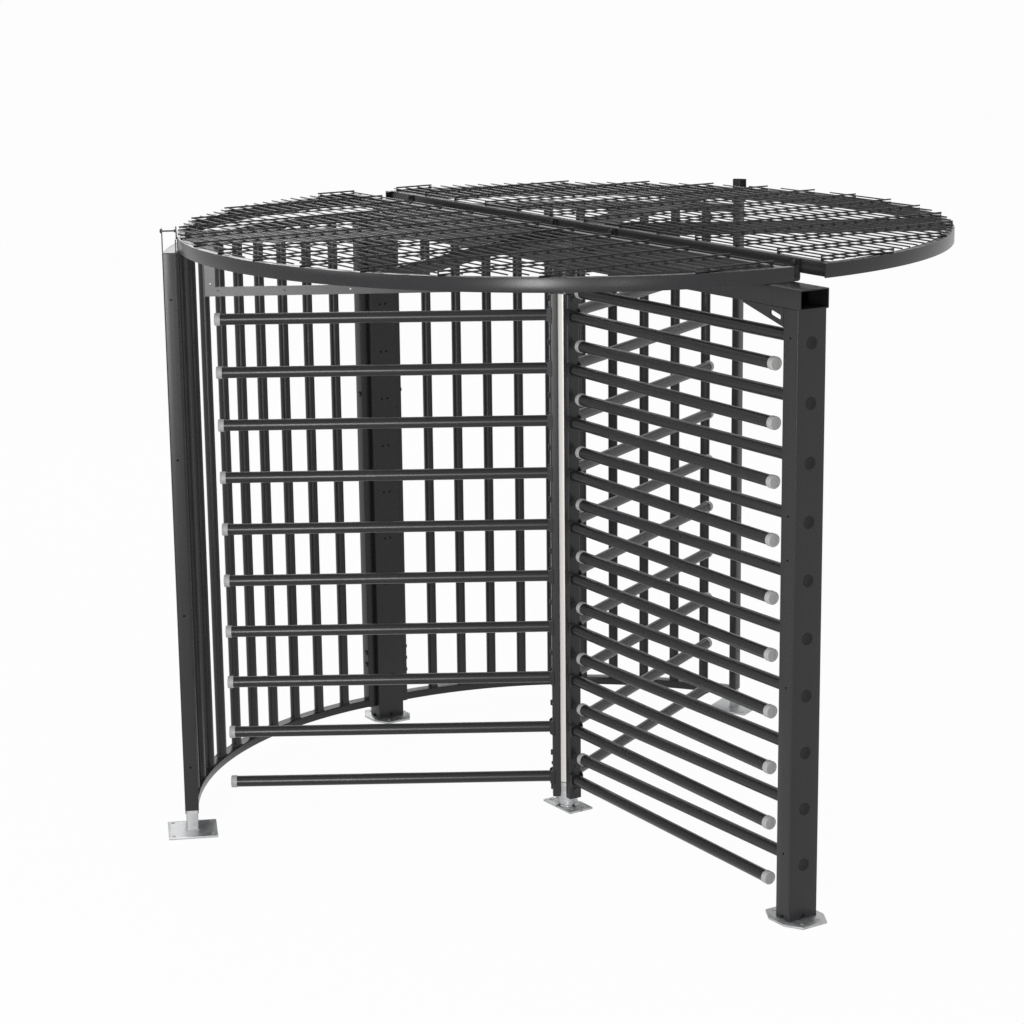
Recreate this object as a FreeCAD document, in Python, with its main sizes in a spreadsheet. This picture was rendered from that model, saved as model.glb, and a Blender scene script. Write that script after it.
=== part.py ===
import FreeCAD, Part
import Sketcher
import math
import os
import re

# Full height turnstile. Millimetres, +Z up. The origin is on the floor on the rotor's axis.
# +X runs along the overhead beam towards the comb post, and -X to the rear column.
# -Y is the front, with the left cage and the open way, +Y the rear with the rear cage.

Vector = FreeCAD.Vector
Rotation = FreeCAD.Rotation
Placement = FreeCAD.Placement

doc = FreeCAD.newDocument("full_height_turnstile")

# Driving dimensions: alias, value, what it measures.
SIZES = [
    ("bar_pitch", 200, "step between bars, in the wings and in the comb"),
    ("bar_count", 10, "bars in a wing and in the comb"),
    ("tube_radius", 21.2, "outer radius of the wing and comb tubes"),
    ("first_wing_bar", 121, "height of the lowest wing bar"),
    ("first_comb_bar", 214.6, "height of the lowest comb bar"),
    ("wing_reach", 1299, "rotor axis to the wing tips, end caps included"),
    ("comb_reach", 95, "rotor axis to the comb's inner ends, end caps included"),
    ("cap_radius", 23.4, "outer radius of the slip-on end caps"),
    ("cap_length", 22, "length of the slip-on end caps"),
    ("rest_angle", -1.7, "angle of the first wing at rest"),
    ("wing_step", 120, "angle between wings"),
    ("rotor_radius", 38, "outer radius of the stainless centre tube"),
    ("rotor_wall", 4, "wall of the stainless centre tube"),
    ("rotor_foot", 105.4, "height of the centre tube's lower end"),
    ("rotor_top", 2003, "height of the centre tube's and the wing channels' upper end"),
    ("channel_foot", 45, "height of the wing channels' lower end"),
    ("channel_width", 53, "outside width of a wing channel"),
    ("channel_reach", 58, "rotor axis to the outer face of a channel's web"),
    ("channel_wall", 3, "sheet thickness of a wing channel"),
    ("ear_reach", 11, "how far the channel's ears stand out beside each bar"),
    ("ear_height", 42, "height of an ear at its tip"),
    ("ear_root", 60, "height of an ear at the web"),
    ("weld_gap", 0.2, "play round a tube in its hole before welding"),
    ("beam_depth", 120, "beam and post depth along Y"),
    ("beam_height", 66.5, "height of the overhead beam"),
    ("beam_floor", 2115, "height of the beam's underside"),
    ("beam_wall", 4, "wall of the beam and the posts"),
    ("beam_end", 1442, "rotor axis to the beam's open ends"),
    ("post_width", 74, "comb post and rear column, along X"),
    ("comb_post_middle", 1394.3, "rotor axis to the middle of the comb post"),
    ("rear_post_middle", 1386, "rotor axis to the middle of the rear column"),
    ("plate_thick", 8, "thickness of every base plate"),
    ("post_plate_long", 205, "post base plate along X"),
    ("post_plate_deep", 175, "post base plate along Y"),
    ("post_plate_cut", 60, "corner cut of the post base plate, along X"),
    ("post_plate_bevel", 35, "corner cut of the post base plate, along Y"),
    ("post_bolt_long", 152, "post base plate holes, spacing along X"),
    ("post_bolt_deep", 72, "post base plate holes, spacing along Y"),
    ("anchor_radius", 7, "radius of the anchor holes"),
    ("window_size", 26, "side of the drain windows in the post feet"),
    ("plug_radius", 22, "radius of the post's black plugs"),
    ("plug_drop", 11, "plug centres below the comb bars"),
    ("plug_head", 1.2, "how far a plug stands out of the post"),
    ("key_hole_radius", 4.2, "radius of the small tapped holes"),
    ("key_hole_low", 244.6, "height of the comb post's lowest tapped hole"),
    ("key_hole_second", 834.6, "height of the comb post's second tapped hole"),
    ("key_hole_third", 1274.6, "height of the comb post's third tapped hole"),
    ("key_hole_fourth", 1424.6, "height of the comb post's fourth tapped hole"),
    ("key_hole_high", 2019.6, "height of the comb post's highest tapped hole"),
    ("column_hole_side", 13.5, "tapped holes of the rear column, off its middle"),
    ("column_hole_drop", 16, "tapped holes of the rear column, below the comb bars"),
    ("column_hole_pairs", 9, "pairs of tapped holes in the rear column"),
    ("gusset_long", 215, "gusset plate along the beam"),
    ("gusset_deep", 63, "gusset plate down the post"),
    ("gusset_thick", 5, "gusset plate thickness"),
    ("gusset_tip", 5, "height of the gusset plate's thin end"),
    ("gusset_slot_radius", 8.5, "half the width of the gusset's slot"),
    ("gusset_slot_run", 38, "straight length of the gusset's slot"),
    ("gusset_slot_place", 40.9, "middle of the gusset's slot from the post"),
    ("gusset_slot_drop", 27.1, "middle of the gusset's slot below the beam"),
    ("cage_radius", 1400, "arc of a cage, to the middle of its tubes"),
    ("cage_centre", 52, "centre of a cage's arc, off the beam's middle plane"),
    ("cage_tube_radius", 20, "outer radius of the cage tubes"),
    ("left_step", 5.598, "angle between tubes, left cage"),
    ("rear_step", 5.54, "angle between tubes, rear cage"),
    ("left_first", 6.352, "angle from the beam's end to the first tube, left cage"),
    ("left_tubes", 11, "tubes in the left cage"),
    ("left_post_turn", 65.8, "angle from the beam's end to the left outer post"),
    ("rear_first", 7.46, "angle from the beam's end to the first tube, rear cage"),
    ("rear_tubes", 10, "tubes in the rear cage"),
    ("rear_post_turn", 63.3, "angle from the beam's end to the rear outer post"),
    ("rail_depth", 50, "cage rail, along the radius"),
    ("rail_height", 32, "cage rail, height"),
    ("rail_wall", 3, "wall of the cage rails and cage posts"),
    ("bottom_rail_low", 60, "height of the bottom rails' underside"),
    ("top_rail_low", 2152, "height of the top rails' underside"),
    ("end_post_width", 35, "cage end post beside the rear column, along Y"),
    ("end_post_inset", 4, "cage end post inside the rails' outer edge"),
    ("outer_post_depth", 51.6, "outer post along the radius"),
    ("outer_post_width", 30, "outer post along the arc"),
    ("outer_post_low", 84, "height of the outer posts' lower end"),
    ("outer_post_high", 2196, "height of the outer posts' upper end"),
    ("post_hole_radius", 4, "radius of the holes through the outer posts"),
    ("post_hole_low", 255.6, "height of the lowest hole through the outer posts"),
    ("post_hole_step", 591, "step between the holes through the outer posts"),
    ("post_hole_count", 4, "holes through each outer post"),
    ("stub_depth", 44.6, "bright foot stub along the radius"),
    ("stub_width", 23, "bright foot stub along the arc"),
    ("stub_top", 240, "height of the foot stub inside the post"),
    ("foot_plate_side", 184, "side of the outer posts' foot plates"),
    ("foot_bolt_side", 145, "outer foot plate holes, spacing both ways"),
    ("pedestal_long", 185, "centre floor plate along X"),
    ("pedestal_deep", 105, "centre floor plate along Y"),
    ("pedestal_bolt_long", 136, "centre plate holes, spacing along X"),
    ("pedestal_bolt_deep", 60, "centre plate holes, spacing along Y"),
    ("pedestal_radius", 37.4, "outer radius of the fixed sleeve below the rotor"),
    ("pedestal_wall", 5, "wall of the fixed sleeve"),
    ("pedestal_gap", 2.4, "clearance between the fixed sleeve and the centre tube"),
    ("drain_size", 12, "side of the drain windows in the sleeve's foot"),
    ("thrust_thick", 10, "thickness of the thrust disc"),
    ("spindle_radius", 20, "radius of the fixed spindle in the rotor's foot"),
    ("running_gap", 0.05, "radial clearance of every running fit"),
    ("face_gap", 0.3, "clearance between faces that turn past each other"),
    ("bush_length", 30, "length of the rotor's lower bush"),
    ("shaft_radius", 17.5, "radius of the upper shaft"),
    ("housing_radius", 45, "outer radius of the upper bearing housing"),
    ("bearing_radius", 36, "outer radius of the upper bearings"),
    ("bearing_height", 20, "height of each upper bearing"),
    ("housing_low", 2008.5, "height of the bearing housing's lower end"),
    ("flange_side", 112, "side of the housing's square flange"),
    ("flange_thick", 8, "thickness of the housing's flange"),
    ("flange_bolt_place", 43, "flange bolts from the rotor axis, along X and along Y"),
    ("shaft_hole_radius", 28, "radius of the shaft's hole in beam and housing"),
    ("housing_lip", 4, "lip under the lower bearing"),
    ("shaft_flange", 20, "height of the upper shaft's disc inside the centre tube"),
    ("shaft_top", 2170, "height of the upper shaft's end"),
    ("rim_gap", 3.8, "clearance between the roof rim and the left roof bracket"),
    ("rim_thick", 6, "thickness of the roof's flats"),
    ("rim_low", 2208.4, "height of the roof rim's lower edge"),
    ("rim_height", 57, "height of the roof rim"),
    ("rim_end", 66, "rim ends, off the beam's middle plane"),
    ("chord_place", 86, "roof chords, off the beam's middle plane"),
    ("chord_height", 48, "height of the roof chords"),
    ("rib_turn", 60, "angle of the roof ribs from the beam"),
    ("rod_radius", 4, "half the thickness of the mat's twin rods"),
    ("rod_step", 219, "step between the mat's twin rods"),
    ("rod_first", -122, "place along X of one twin rod"),
    ("wire_radius", 3, "radius of the mat's wires"),
    ("wire_step", 52, "step between the mat's wires"),
    ("mat_overhang", 12, "how far rods and wires stand over the rim"),
    ("bracket_width", 42, "roof bracket on an outer post, along the arc"),
    ("bracket_wall", 4, "sheet thickness of a roof bracket"),
    ("bracket_rise", 22, "outer cheek of a roof bracket above the roof rim"),
    ("bracket_step", 10, "inner cheek of a roof bracket below the rim's top"),
    ("roof_bolt_rise", 11, "roof bolts above the roof rim"),
    ("roof_bolt_radius", 2.8, "radius of the roof bolts"),
    ("lug_width", 30, "roof lug on the rim, along the arc"),
    ("lug_thick", 4, "thickness of a roof lug"),
    ("lug_lap", 9, "how far a roof lug laps the rim"),
    ("lug_rise", 27, "roof lug above the rim"),
    ("column_bolt_first", 195, "height of the lowest column bolts"),
    ("column_bolt_shift", 3, "column bolts beyond the column's middle"),
    ("column_bolt_high", 1423, "height of the highest column bolts"),
    ("column_bolt_step", 52, "step between the three lower column bolts"),
    ("head_radius", 11, "corner radius of the hexagon heads"),
    ("head_height", 7, "height of the hexagon heads"),
    ("wing_bolt_low", 78, "height of the lowest bolt on a wing channel"),
    ("wing_screw_low", 174, "height of the small screw on a wing channel"),
    ("wing_bolt_rise", 96, "channel bolts above each wing bar"),
    ("wing_bolt_drop", 19, "highest bolt below the wing channel's upper end"),
    ("saddle_near", 192, "inner roof saddles, along X"),
    ("saddle_far", 1243, "outer roof saddles, along X"),
    ("saddle_width", 46, "roof saddle along X"),
    ("saddle_thick", 6, "sheet thickness of a roof saddle"),
    ("saddle_bolt_drop", 14, "saddle bolts below the chord's upper edge"),
    ("saddle_foot_bolt", 36, "saddle foot bolts, off the beam's middle plane"),
    ("guard_low", 2008, "height of the head guard's lower edge"),
    ("guard_height", 40, "height of the head guard"),
    ("guard_reach", 1326, "rotor axis to the head guard's outer end"),
    ("guard_upright", 38, "width of the head guard's upright"),
    ("guard_thick", 6, "thickness of the head guard"),
    ("disc_radius", 50, "outer radius of the locking disc"),
    ("disc_thick", 10, "thickness of the locking disc"),
    ("disc_low", 2140, "height of the locking disc's underside"),
    ("notch_width", 15, "width of a notch in the locking disc"),
    ("notch_deep", 12, "depth of a notch in the locking disc"),
    ("notch_count", 12, "notches in the locking disc"),
    ("pawl_pin_along", 64, "pawl pivot from the rotor axis, along X"),
    ("pawl_pin_across", 30, "pawl pivot from the rotor axis, along Y"),
    ("pawl_pin_radius", 4, "radius of the pawl pins"),
    ("pawl_pin_rise", 6.4, "pawl pins above the pawls"),
    ("pawl_thick", 8, "thickness of a pawl"),
    ("pawl_boss", 9, "radius of a pawl's boss"),
    ("pawl_nose", 12.5, "nose of a pawl from its pin, along X"),
    ("pawl_drop", 37, "nose of a pawl from its pin, along Y"),
    ("pawl_back", 4, "back of a pawl from its pin, along X"),
    ("pawl_flat", 14.5, "flat end of a pawl's nose, along X"),
    ("pawl_point", 7, "rise of a pawl's nose to its point"),
    ("pawl_neck", 6, "depth of a pawl's neck behind its point"),
    ("pawl_slope", 3, "slope from a pawl's point to its neck, along Y"),
    ("plunger_radius", 5, "radius of the solenoid plungers"),
    ("plunger_nose", 5, "side of the square nose that a plunger pushes with"),
    ("plunger_arm", 26, "plunger from the pawl pin, along Y"),
    ("plunger_end", 125, "rotor axis to a plunger's outer end"),
    ("solenoid_place", 95, "rotor axis to a solenoid's inner face"),
    ("solenoid_long", 40, "solenoid along X"),
    ("solenoid_deep", 30, "solenoid along Y"),
    ("solenoid_high", 36, "height of a solenoid"),
    ("hub_radius", 25, "outer radius of the locking disc's hub"),
    ("hub_height", 13, "height of the locking disc's hub"),
    ("cover_long", 320, "top cover of the mechanism along X"),
    ("cover_inset", 4, "cover's edges inside the beam's"),
    ("opening_margin_long", 20, "service opening inside the cover, along X"),
    ("opening_margin_deep", 14, "service opening inside the cover, along Y"),
    ("cover_thick", 3, "thickness of the mechanism's cover"),
]

sheet = doc.addObject("Spreadsheet::Sheet", "sizes")
for row, (alias, value, note) in enumerate(SIZES, start=1):
    sheet.set(f"A{row}", note)
    sheet.set(f"B{row}", str(value))
    sheet.setAlias(f"B{row}", alias)
doc.recompute()

ALIASES = re.compile(r"\b(" + "|".join(alias for alias, value, note in SIZES) + r")\b")


def size(alias):
    """The value of a driving dimension."""
    return float(sheet.get(alias))


def bind(piece, prop, rule):
    """Tie a property to a rule written with the sheet's aliases."""
    piece.setExpression(prop, ALIASES.sub(r"sizes.\1", str(rule)))


def primitive(kind, name, at, turn=None, **rules):
    """A primitive solid whose sizes and place follow the sheet."""
    piece = doc.addObject("Part::" + kind, name)
    if turn:
        piece.Placement = Placement(Vector(), Rotation(*turn))
    for prop, rule in rules.items():
        bind(piece, prop, rule)
    for axis, rule in zip("xyz", at):
        bind(piece, "Placement.Base." + axis, rule)
    return piece


def box(name, low, length, width, height):
    return primitive("Box", name, low, Length=length, Width=width, Height=height)


ALONG_X = (Vector(0, 1, 0), 90)
ALONG_Y = (Vector(1, 0, 0), -90)
BACK_X = (Vector(0, 1, 0), -90)
BACK_Y = (Vector(1, 0, 0), 90)


def rod(name, at, radius, length, along=None):
    return primitive("Cylinder", name, at, along, Radius=radius, Height=length)


def prism(name, at, radius, length, along=None, sides=16):
    """A many-sided bar or hole, for small round things that repeat."""
    piece = primitive("Prism", name, at, along, Circumradius=radius, Height=length)
    piece.Polygon = sides
    return piece


def hexagon(name, at, along=None, share="1"):
    """A hexagon bolt head, or a share of its size."""
    return prism(name, at, f"head_radius * {share}", f"head_height * {share}", along, 6)


def cut(name, base, *tools):
    """The base without the tools, one after another."""
    for number, tool in enumerate(tools, start=1):
        result = doc.addObject("Part::Cut", f"{name}_cut{number}")
        result.Base = base
        result.Tool = tool
        base = result
    return base


def fuse(name, *pieces):
    result = doc.addObject("Part::MultiFuse", name)
    result.Shapes = list(pieces)
    result.Refine = True
    return result


def group(name, pieces):
    """Like pieces kept as separate solids in one object."""
    result = doc.addObject("Part::Compound", name)
    result.Links = list(pieces)
    return result


def turned(piece, angle, x="0", y="0", z="0"):
    """Turn a finished piece about the vertical and move it, both by rules."""
    piece.Placement = Placement(Vector(), Rotation(Vector(0, 0, 1), 10))
    bind(piece, "Placement.Rotation.Angle", angle)
    for axis, rule in zip("xyz", (x, y, z)):
        bind(piece, "Placement.Base." + axis, rule)
    return piece


NODES = []


def node(label, piece):
    """Name a finished sub-part."""
    piece.Label = label
    NODES.append((label, piece))
    return piece


def made(name, shape):
    """A sub-part whose shape is worked out from the sheet's values."""
    piece = doc.addObject("Part::Feature", name)
    piece.Shape = shape
    return piece


# Overhead beam: a rectangular tube over the rotor, open at both ends, with a shaft
# hole in its floor and a service opening in its top.
beam_top = "(beam_floor + beam_height)"
half_depth = "beam_depth / 2"
beam = cut(
    "beam",
    box(
        "beam_outer",
        ("-beam_end", "-" + half_depth, "beam_floor"),
        "2 * beam_end",
        "beam_depth",
        "beam_height",
    ),
    box(
        "beam_inner",
        ("-beam_end - 1", "-beam_depth / 2 + beam_wall", "beam_floor + beam_wall"),
        "2 * beam_end + 2",
        "beam_depth - 2 * beam_wall",
        "beam_height - 2 * beam_wall",
    ),
    rod("beam_shaft_hole", ("0", "0", "beam_floor - 1"), "shaft_hole_radius", "beam_wall + 2"),
    box(
        "beam_service_opening",
        (
            "-cover_long / 2 + opening_margin_long",
            "-beam_depth / 2 + cover_inset + opening_margin_deep",
            beam_top + " - beam_wall - 1",
        ),
        "cover_long - 2 * opening_margin_long",
        "beam_depth - 2 * cover_inset - 2 * opening_margin_deep",
        "beam_wall + 2",
    ),
)
node("overhead_beam", beam)

cover = box(
    "cover_plate",
    ("-cover_long / 2", "-beam_depth / 2 + cover_inset", beam_top),
    "cover_long",
    "beam_depth - 2 * cover_inset",
    "cover_thick",
)
node("mechanism_cover", cover)
cover_screws = []
for x_side in (-1, 1):
    for y_side in (-1, 1):
        at = (
            f"{x_side} * (cover_long / 2 - head_radius)",
            f"{y_side} * (beam_depth / 2 - head_radius - cover_inset)",
            beam_top + " + cover_thick",
        )
        cover_screws.append(hexagon(f"cover_screw_{len(cover_screws) + 1}", at, None, "0.6"))
node("cover_screws", group("cover_screw_set", cover_screws))


def post(name, middle, holes_outside):
    """A post under the beam: rectangular tube with drain windows in its foot."""
    shell = box(
        name + "_outer",
        (f"{middle} - post_width / 2", "-" + half_depth, "plate_thick"),
        "post_width",
        "beam_depth",
        "beam_floor - plate_thick",
    )
    hollow = box(
        name + "_inner",
        (f"{middle} - post_width / 2 + beam_wall", "-beam_depth / 2 + beam_wall", "plate_thick - 1"),
        "post_width - 2 * beam_wall",
        "beam_depth - 2 * beam_wall",
        "beam_floor - plate_thick + 2",
    )
    window_x = primitive(
        "Box",
        name + "_window_x",
        (f"{middle} - post_width / 2 - 1", "0", "plate_thick - window_size / sqrt(2)"),
        (Vector(1, 0, 0), 45),
        Length="post_width + 2",
        Width="window_size",
        Height="window_size",
    )
    window_y = primitive(
        "Box",
        name + "_window_y",
        (middle, "-beam_depth / 2 - 1", "plate_thick - window_size / sqrt(2)"),
        (Vector(0, 1, 0), -45),
        Length="window_size",
        Width="beam_depth + 2",
        Height="window_size",
    )
    return cut(name, shell, hollow, window_x, window_y, *holes_outside)


def post_plate(name, middle):
    """Base plate of a post: cut corners and four anchor holes."""
    body = doc.addObject("PartDesign::Body", name)
    floor = [item for item in body.Origin.OriginFeatures if item.Role == "XY_Plane"][0]
    sketch = body.newObject("Sketcher::SketchObject", name + "_outline")
    sketch.AttachmentSupport = [(floor, "")]
    sketch.MapMode = "FlatFace"
    long_half = size("post_plate_long") / 2
    deep_half = size("post_plate_deep") / 2
    along = size("post_plate_cut")
    bevel = size("post_plate_bevel")
    corners = [
        (long_half - along, -deep_half),
        (long_half, -deep_half + bevel),
        (long_half, deep_half - bevel),
        (long_half - along, deep_half),
        (-long_half + along, deep_half),
        (-long_half, deep_half - bevel),
        (-long_half, -deep_half + bevel),
        (-long_half + along, -deep_half),
    ]
    for number, start in enumerate(corners):
        end = corners[(number + 1) % len(corners)]
        sketch.addGeometry(Part.LineSegment(Vector(*start, 0), Vector(*end, 0)), False)
    for number in range(len(corners)):
        following = (number + 1) % len(corners)
        sketch.addConstraint(Sketcher.Constraint("Coincident", number, 2, following, 1))
        for part, prop in ((0, "DistanceX"), (1, "DistanceY")):
            place = corners[number][part]
            index = sketch.addConstraint(Sketcher.Constraint(prop, -1, 1, number, 1, place))
            side = "-1" if place < 0 else "1"
            if part == 0:
                inset = "0" if abs(abs(place) - long_half) < 1e-6 else "post_plate_cut"
                bind(sketch, f"Constraints[{index}]", f"{side} * (post_plate_long / 2 - {inset})")
            else:
                inset = "0" if abs(abs(place) - deep_half) < 1e-6 else "post_plate_bevel"
                bind(sketch, f"Constraints[{index}]", f"{side} * (post_plate_deep / 2 - {inset})")
    pad = body.newObject("PartDesign::Pad", name + "_pad")
    pad.Profile = sketch
    bind(pad, "Length", "plate_thick")
    bind(body, "Placement.Base.x", middle)
    holes = []
    for x_side in (-1, 1):
        for y_side in (-1, 1):
            at = (f"{middle} + {x_side} * post_bolt_long / 2", f"{y_side} * post_bolt_deep / 2", "-1")
            holes.append(rod(f"{name}_hole_{len(holes) + 1}", at, "anchor_radius", "plate_thick + 2"))
    return cut(name, body, *holes)


# Comb post: plug holes on its outer face, key holes on its front face.
bars = range(int(size("bar_count")))
post_holes = []
for number in bars:
    at = (
        "comb_post_middle + post_width / 2 - beam_wall - 1",
        "0",
        f"first_comb_bar - plug_drop + {number} * bar_pitch",
    )
    post_holes.append(prism(f"plug_hole_{number + 1}", at, "plug_radius", "beam_wall + 2", ALONG_X, 12))
for place in ("low", "second", "third", "fourth", "high"):
    at = ("comb_post_middle", "-beam_depth / 2 - 1", f"key_hole_{place}")
    post_holes.append(prism(f"key_cut_{place}", at, "key_hole_radius", "beam_wall + 2", ALONG_Y, 6))
node("comb_post", post("comb_post_tube", "comb_post_middle", post_holes))
node("comb_post_base_plate", post_plate("comb_plate", "comb_post_middle"))

plugs = []
for number in bars:
    at = (
        "comb_post_middle + post_width / 2 - beam_wall",
        "0",
        f"first_comb_bar - plug_drop + {number} * bar_pitch",
    )
    plugs.append(prism(f"plug_{number + 1}", at, "plug_radius", "beam_wall + plug_head", ALONG_X, 12))
node("comb_post_plugs", group("plug_set", plugs))

# Comb: fixed tubes butted to the post, each closed at its inner end by a cap.
comb_tubes = []
comb_caps = []
comb_face = "(comb_post_middle - post_width / 2)"
for number in bars:
    height = f"first_comb_bar + {number} * bar_pitch"
    at = ("comb_reach + cap_length", "0", height)
    length = f"{comb_face} - comb_reach - cap_length"
    comb_tubes.append(prism(f"comb_tube_{number + 1}", at, "tube_radius", length, ALONG_X))
    at = ("comb_reach", "0", height)
    comb_caps.append(prism(f"comb_cap_{number + 1}", at, "cap_radius", "cap_length", ALONG_X, 12))
node("comb_bars", group("comb_tube_set", comb_tubes))
node("comb_end_caps", group("comb_cap_set", comb_caps))

# Rear column: the same tube, with pairs of tapped holes on the face to the rotor.
column_holes = []
for number in range(int(size("column_hole_pairs"))):
    for side in (-1, 1):
        at = (
            "-rear_post_middle + post_width / 2 - beam_wall - 1",
            f"{side} * column_hole_side",
            f"first_comb_bar - column_hole_drop + {number} * bar_pitch",
        )
        name = f"column_hole_{number + 1}_{'left' if side < 0 else 'right'}"
        column_holes.append(prism(name, at, "key_hole_radius", "beam_wall + 2", ALONG_X, 6))
node("rear_column", post("rear_column_tube", "-rear_post_middle", column_holes))
node("rear_column_base_plate", post_plate("rear_plate", "-rear_post_middle"))


def gusset(x_side, y_side):
    """Triangular plate in the corner of beam and post, with an oblong slot."""
    middle = size("comb_post_middle") if x_side > 0 else size("rear_post_middle")
    face = middle - size("post_width") / 2
    long = size("gusset_long")
    deep = size("gusset_deep")
    tip = size("gusset_tip")
    thick = size("gusset_thick")
    high = size("beam_floor")
    corners = [(face, high), (face - long, high), (face - long, high - tip), (face, high - deep)]
    points = [Vector(x, 0, z) for x, z in corners]
    plate = Part.Face(Part.makePolygon(points + points[:1])).extrude(Vector(0, thick, 0))
    radius = size("gusset_slot_radius")
    half_run = size("gusset_slot_run") / 2
    edge = []
    for end in (-1, 1):
        for step in range(5):
            around = math.radians(45 * step - 90)
            across = radius * math.sin(around)
            edge.append(Vector(end * (half_run + radius * math.cos(around)), -1, end * across))
    slot = Part.Face(Part.makePolygon(edge + edge[:1])).extrude(Vector(0, thick + 2, 0))
    slope = math.degrees(math.atan2(deep - tip, long))
    middle_of_slot = Vector(face - size("gusset_slot_place"), 0, high - size("gusset_slot_drop"))
    slot.Placement = Placement(middle_of_slot, Rotation(Vector(0, 1, 0), slope))
    plate = plate.cut(slot)
    if x_side < 0:
        plate = plate.mirror(Vector(0, 0, 0), Vector(1, 0, 0))
    edge_place = size("beam_depth") / 2
    plate.translate(Vector(0, -edge_place if y_side < 0 else edge_place - thick, 0))
    return plate


gussets = Part.makeCompound([gusset(x_side, y_side) for x_side in (-1, 1) for y_side in (-1, 1)])
node("beam_gussets", made("gusset_set", gussets))

# The roof rim keeps its clearance from the left outer post. Its rule reads the sizes.
def post_distance(name):
    """Rotor axis to the middle of an outer post."""
    reach = f"2 * cage_radius * cage_centre * sin({name}_post_turn)"
    return f"sqrt(cage_radius ^ 2 + cage_centre ^ 2 + {reach})"


RIM_RADIUS = f"({post_distance('left')} - outer_post_depth / 2 - rim_gap)"
RIM_TOP = "(rim_low + rim_height)"

# Cages: two curved frames of rails, tubes and posts, one each side of the column.
# Angles run from the rear column round each cage's own arc centre.
SIDES = {"left": -1, "rear": 1}
COLUMN_BOLT_LEVELS = (
    "column_bolt_first",
    "column_bolt_first + column_bolt_step",
    "column_bolt_first + 2 * column_bolt_step",
    "column_bolt_high",
)
column_bolts = []


def rail(name, side, low):
    """A curved rail between the end post and the outer post, closed by both."""
    sweep = size(f"{name.split('_')[0]}_post_turn")
    radius = size("cage_radius")
    across = size("beam_depth") / 2 + size("end_post_width") - size("cage_centre")
    inner_edge = radius - size("rail_depth") / 2
    start = math.degrees(math.asin(across / inner_edge))
    stop = sweep - math.degrees(math.asin((size("outer_post_width") / 2) / inner_edge))
    depth = size("rail_depth") / 2
    height = size("rail_height")
    outer = Part.makeCylinder(radius + depth, height, Vector(0, 0, low), Vector(0, 0, 1), stop - start)
    inner = Part.makeCylinder(radius - depth, height, Vector(0, 0, low), Vector(0, 0, 1), stop - start)
    solid = outer.cut(inner)
    turn = 180 + start if side < 0 else 180 - stop
    solid.Placement = Placement(Vector(0, side * size("cage_centre"), 0), Rotation(Vector(0, 0, 1), turn))
    return solid


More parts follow.
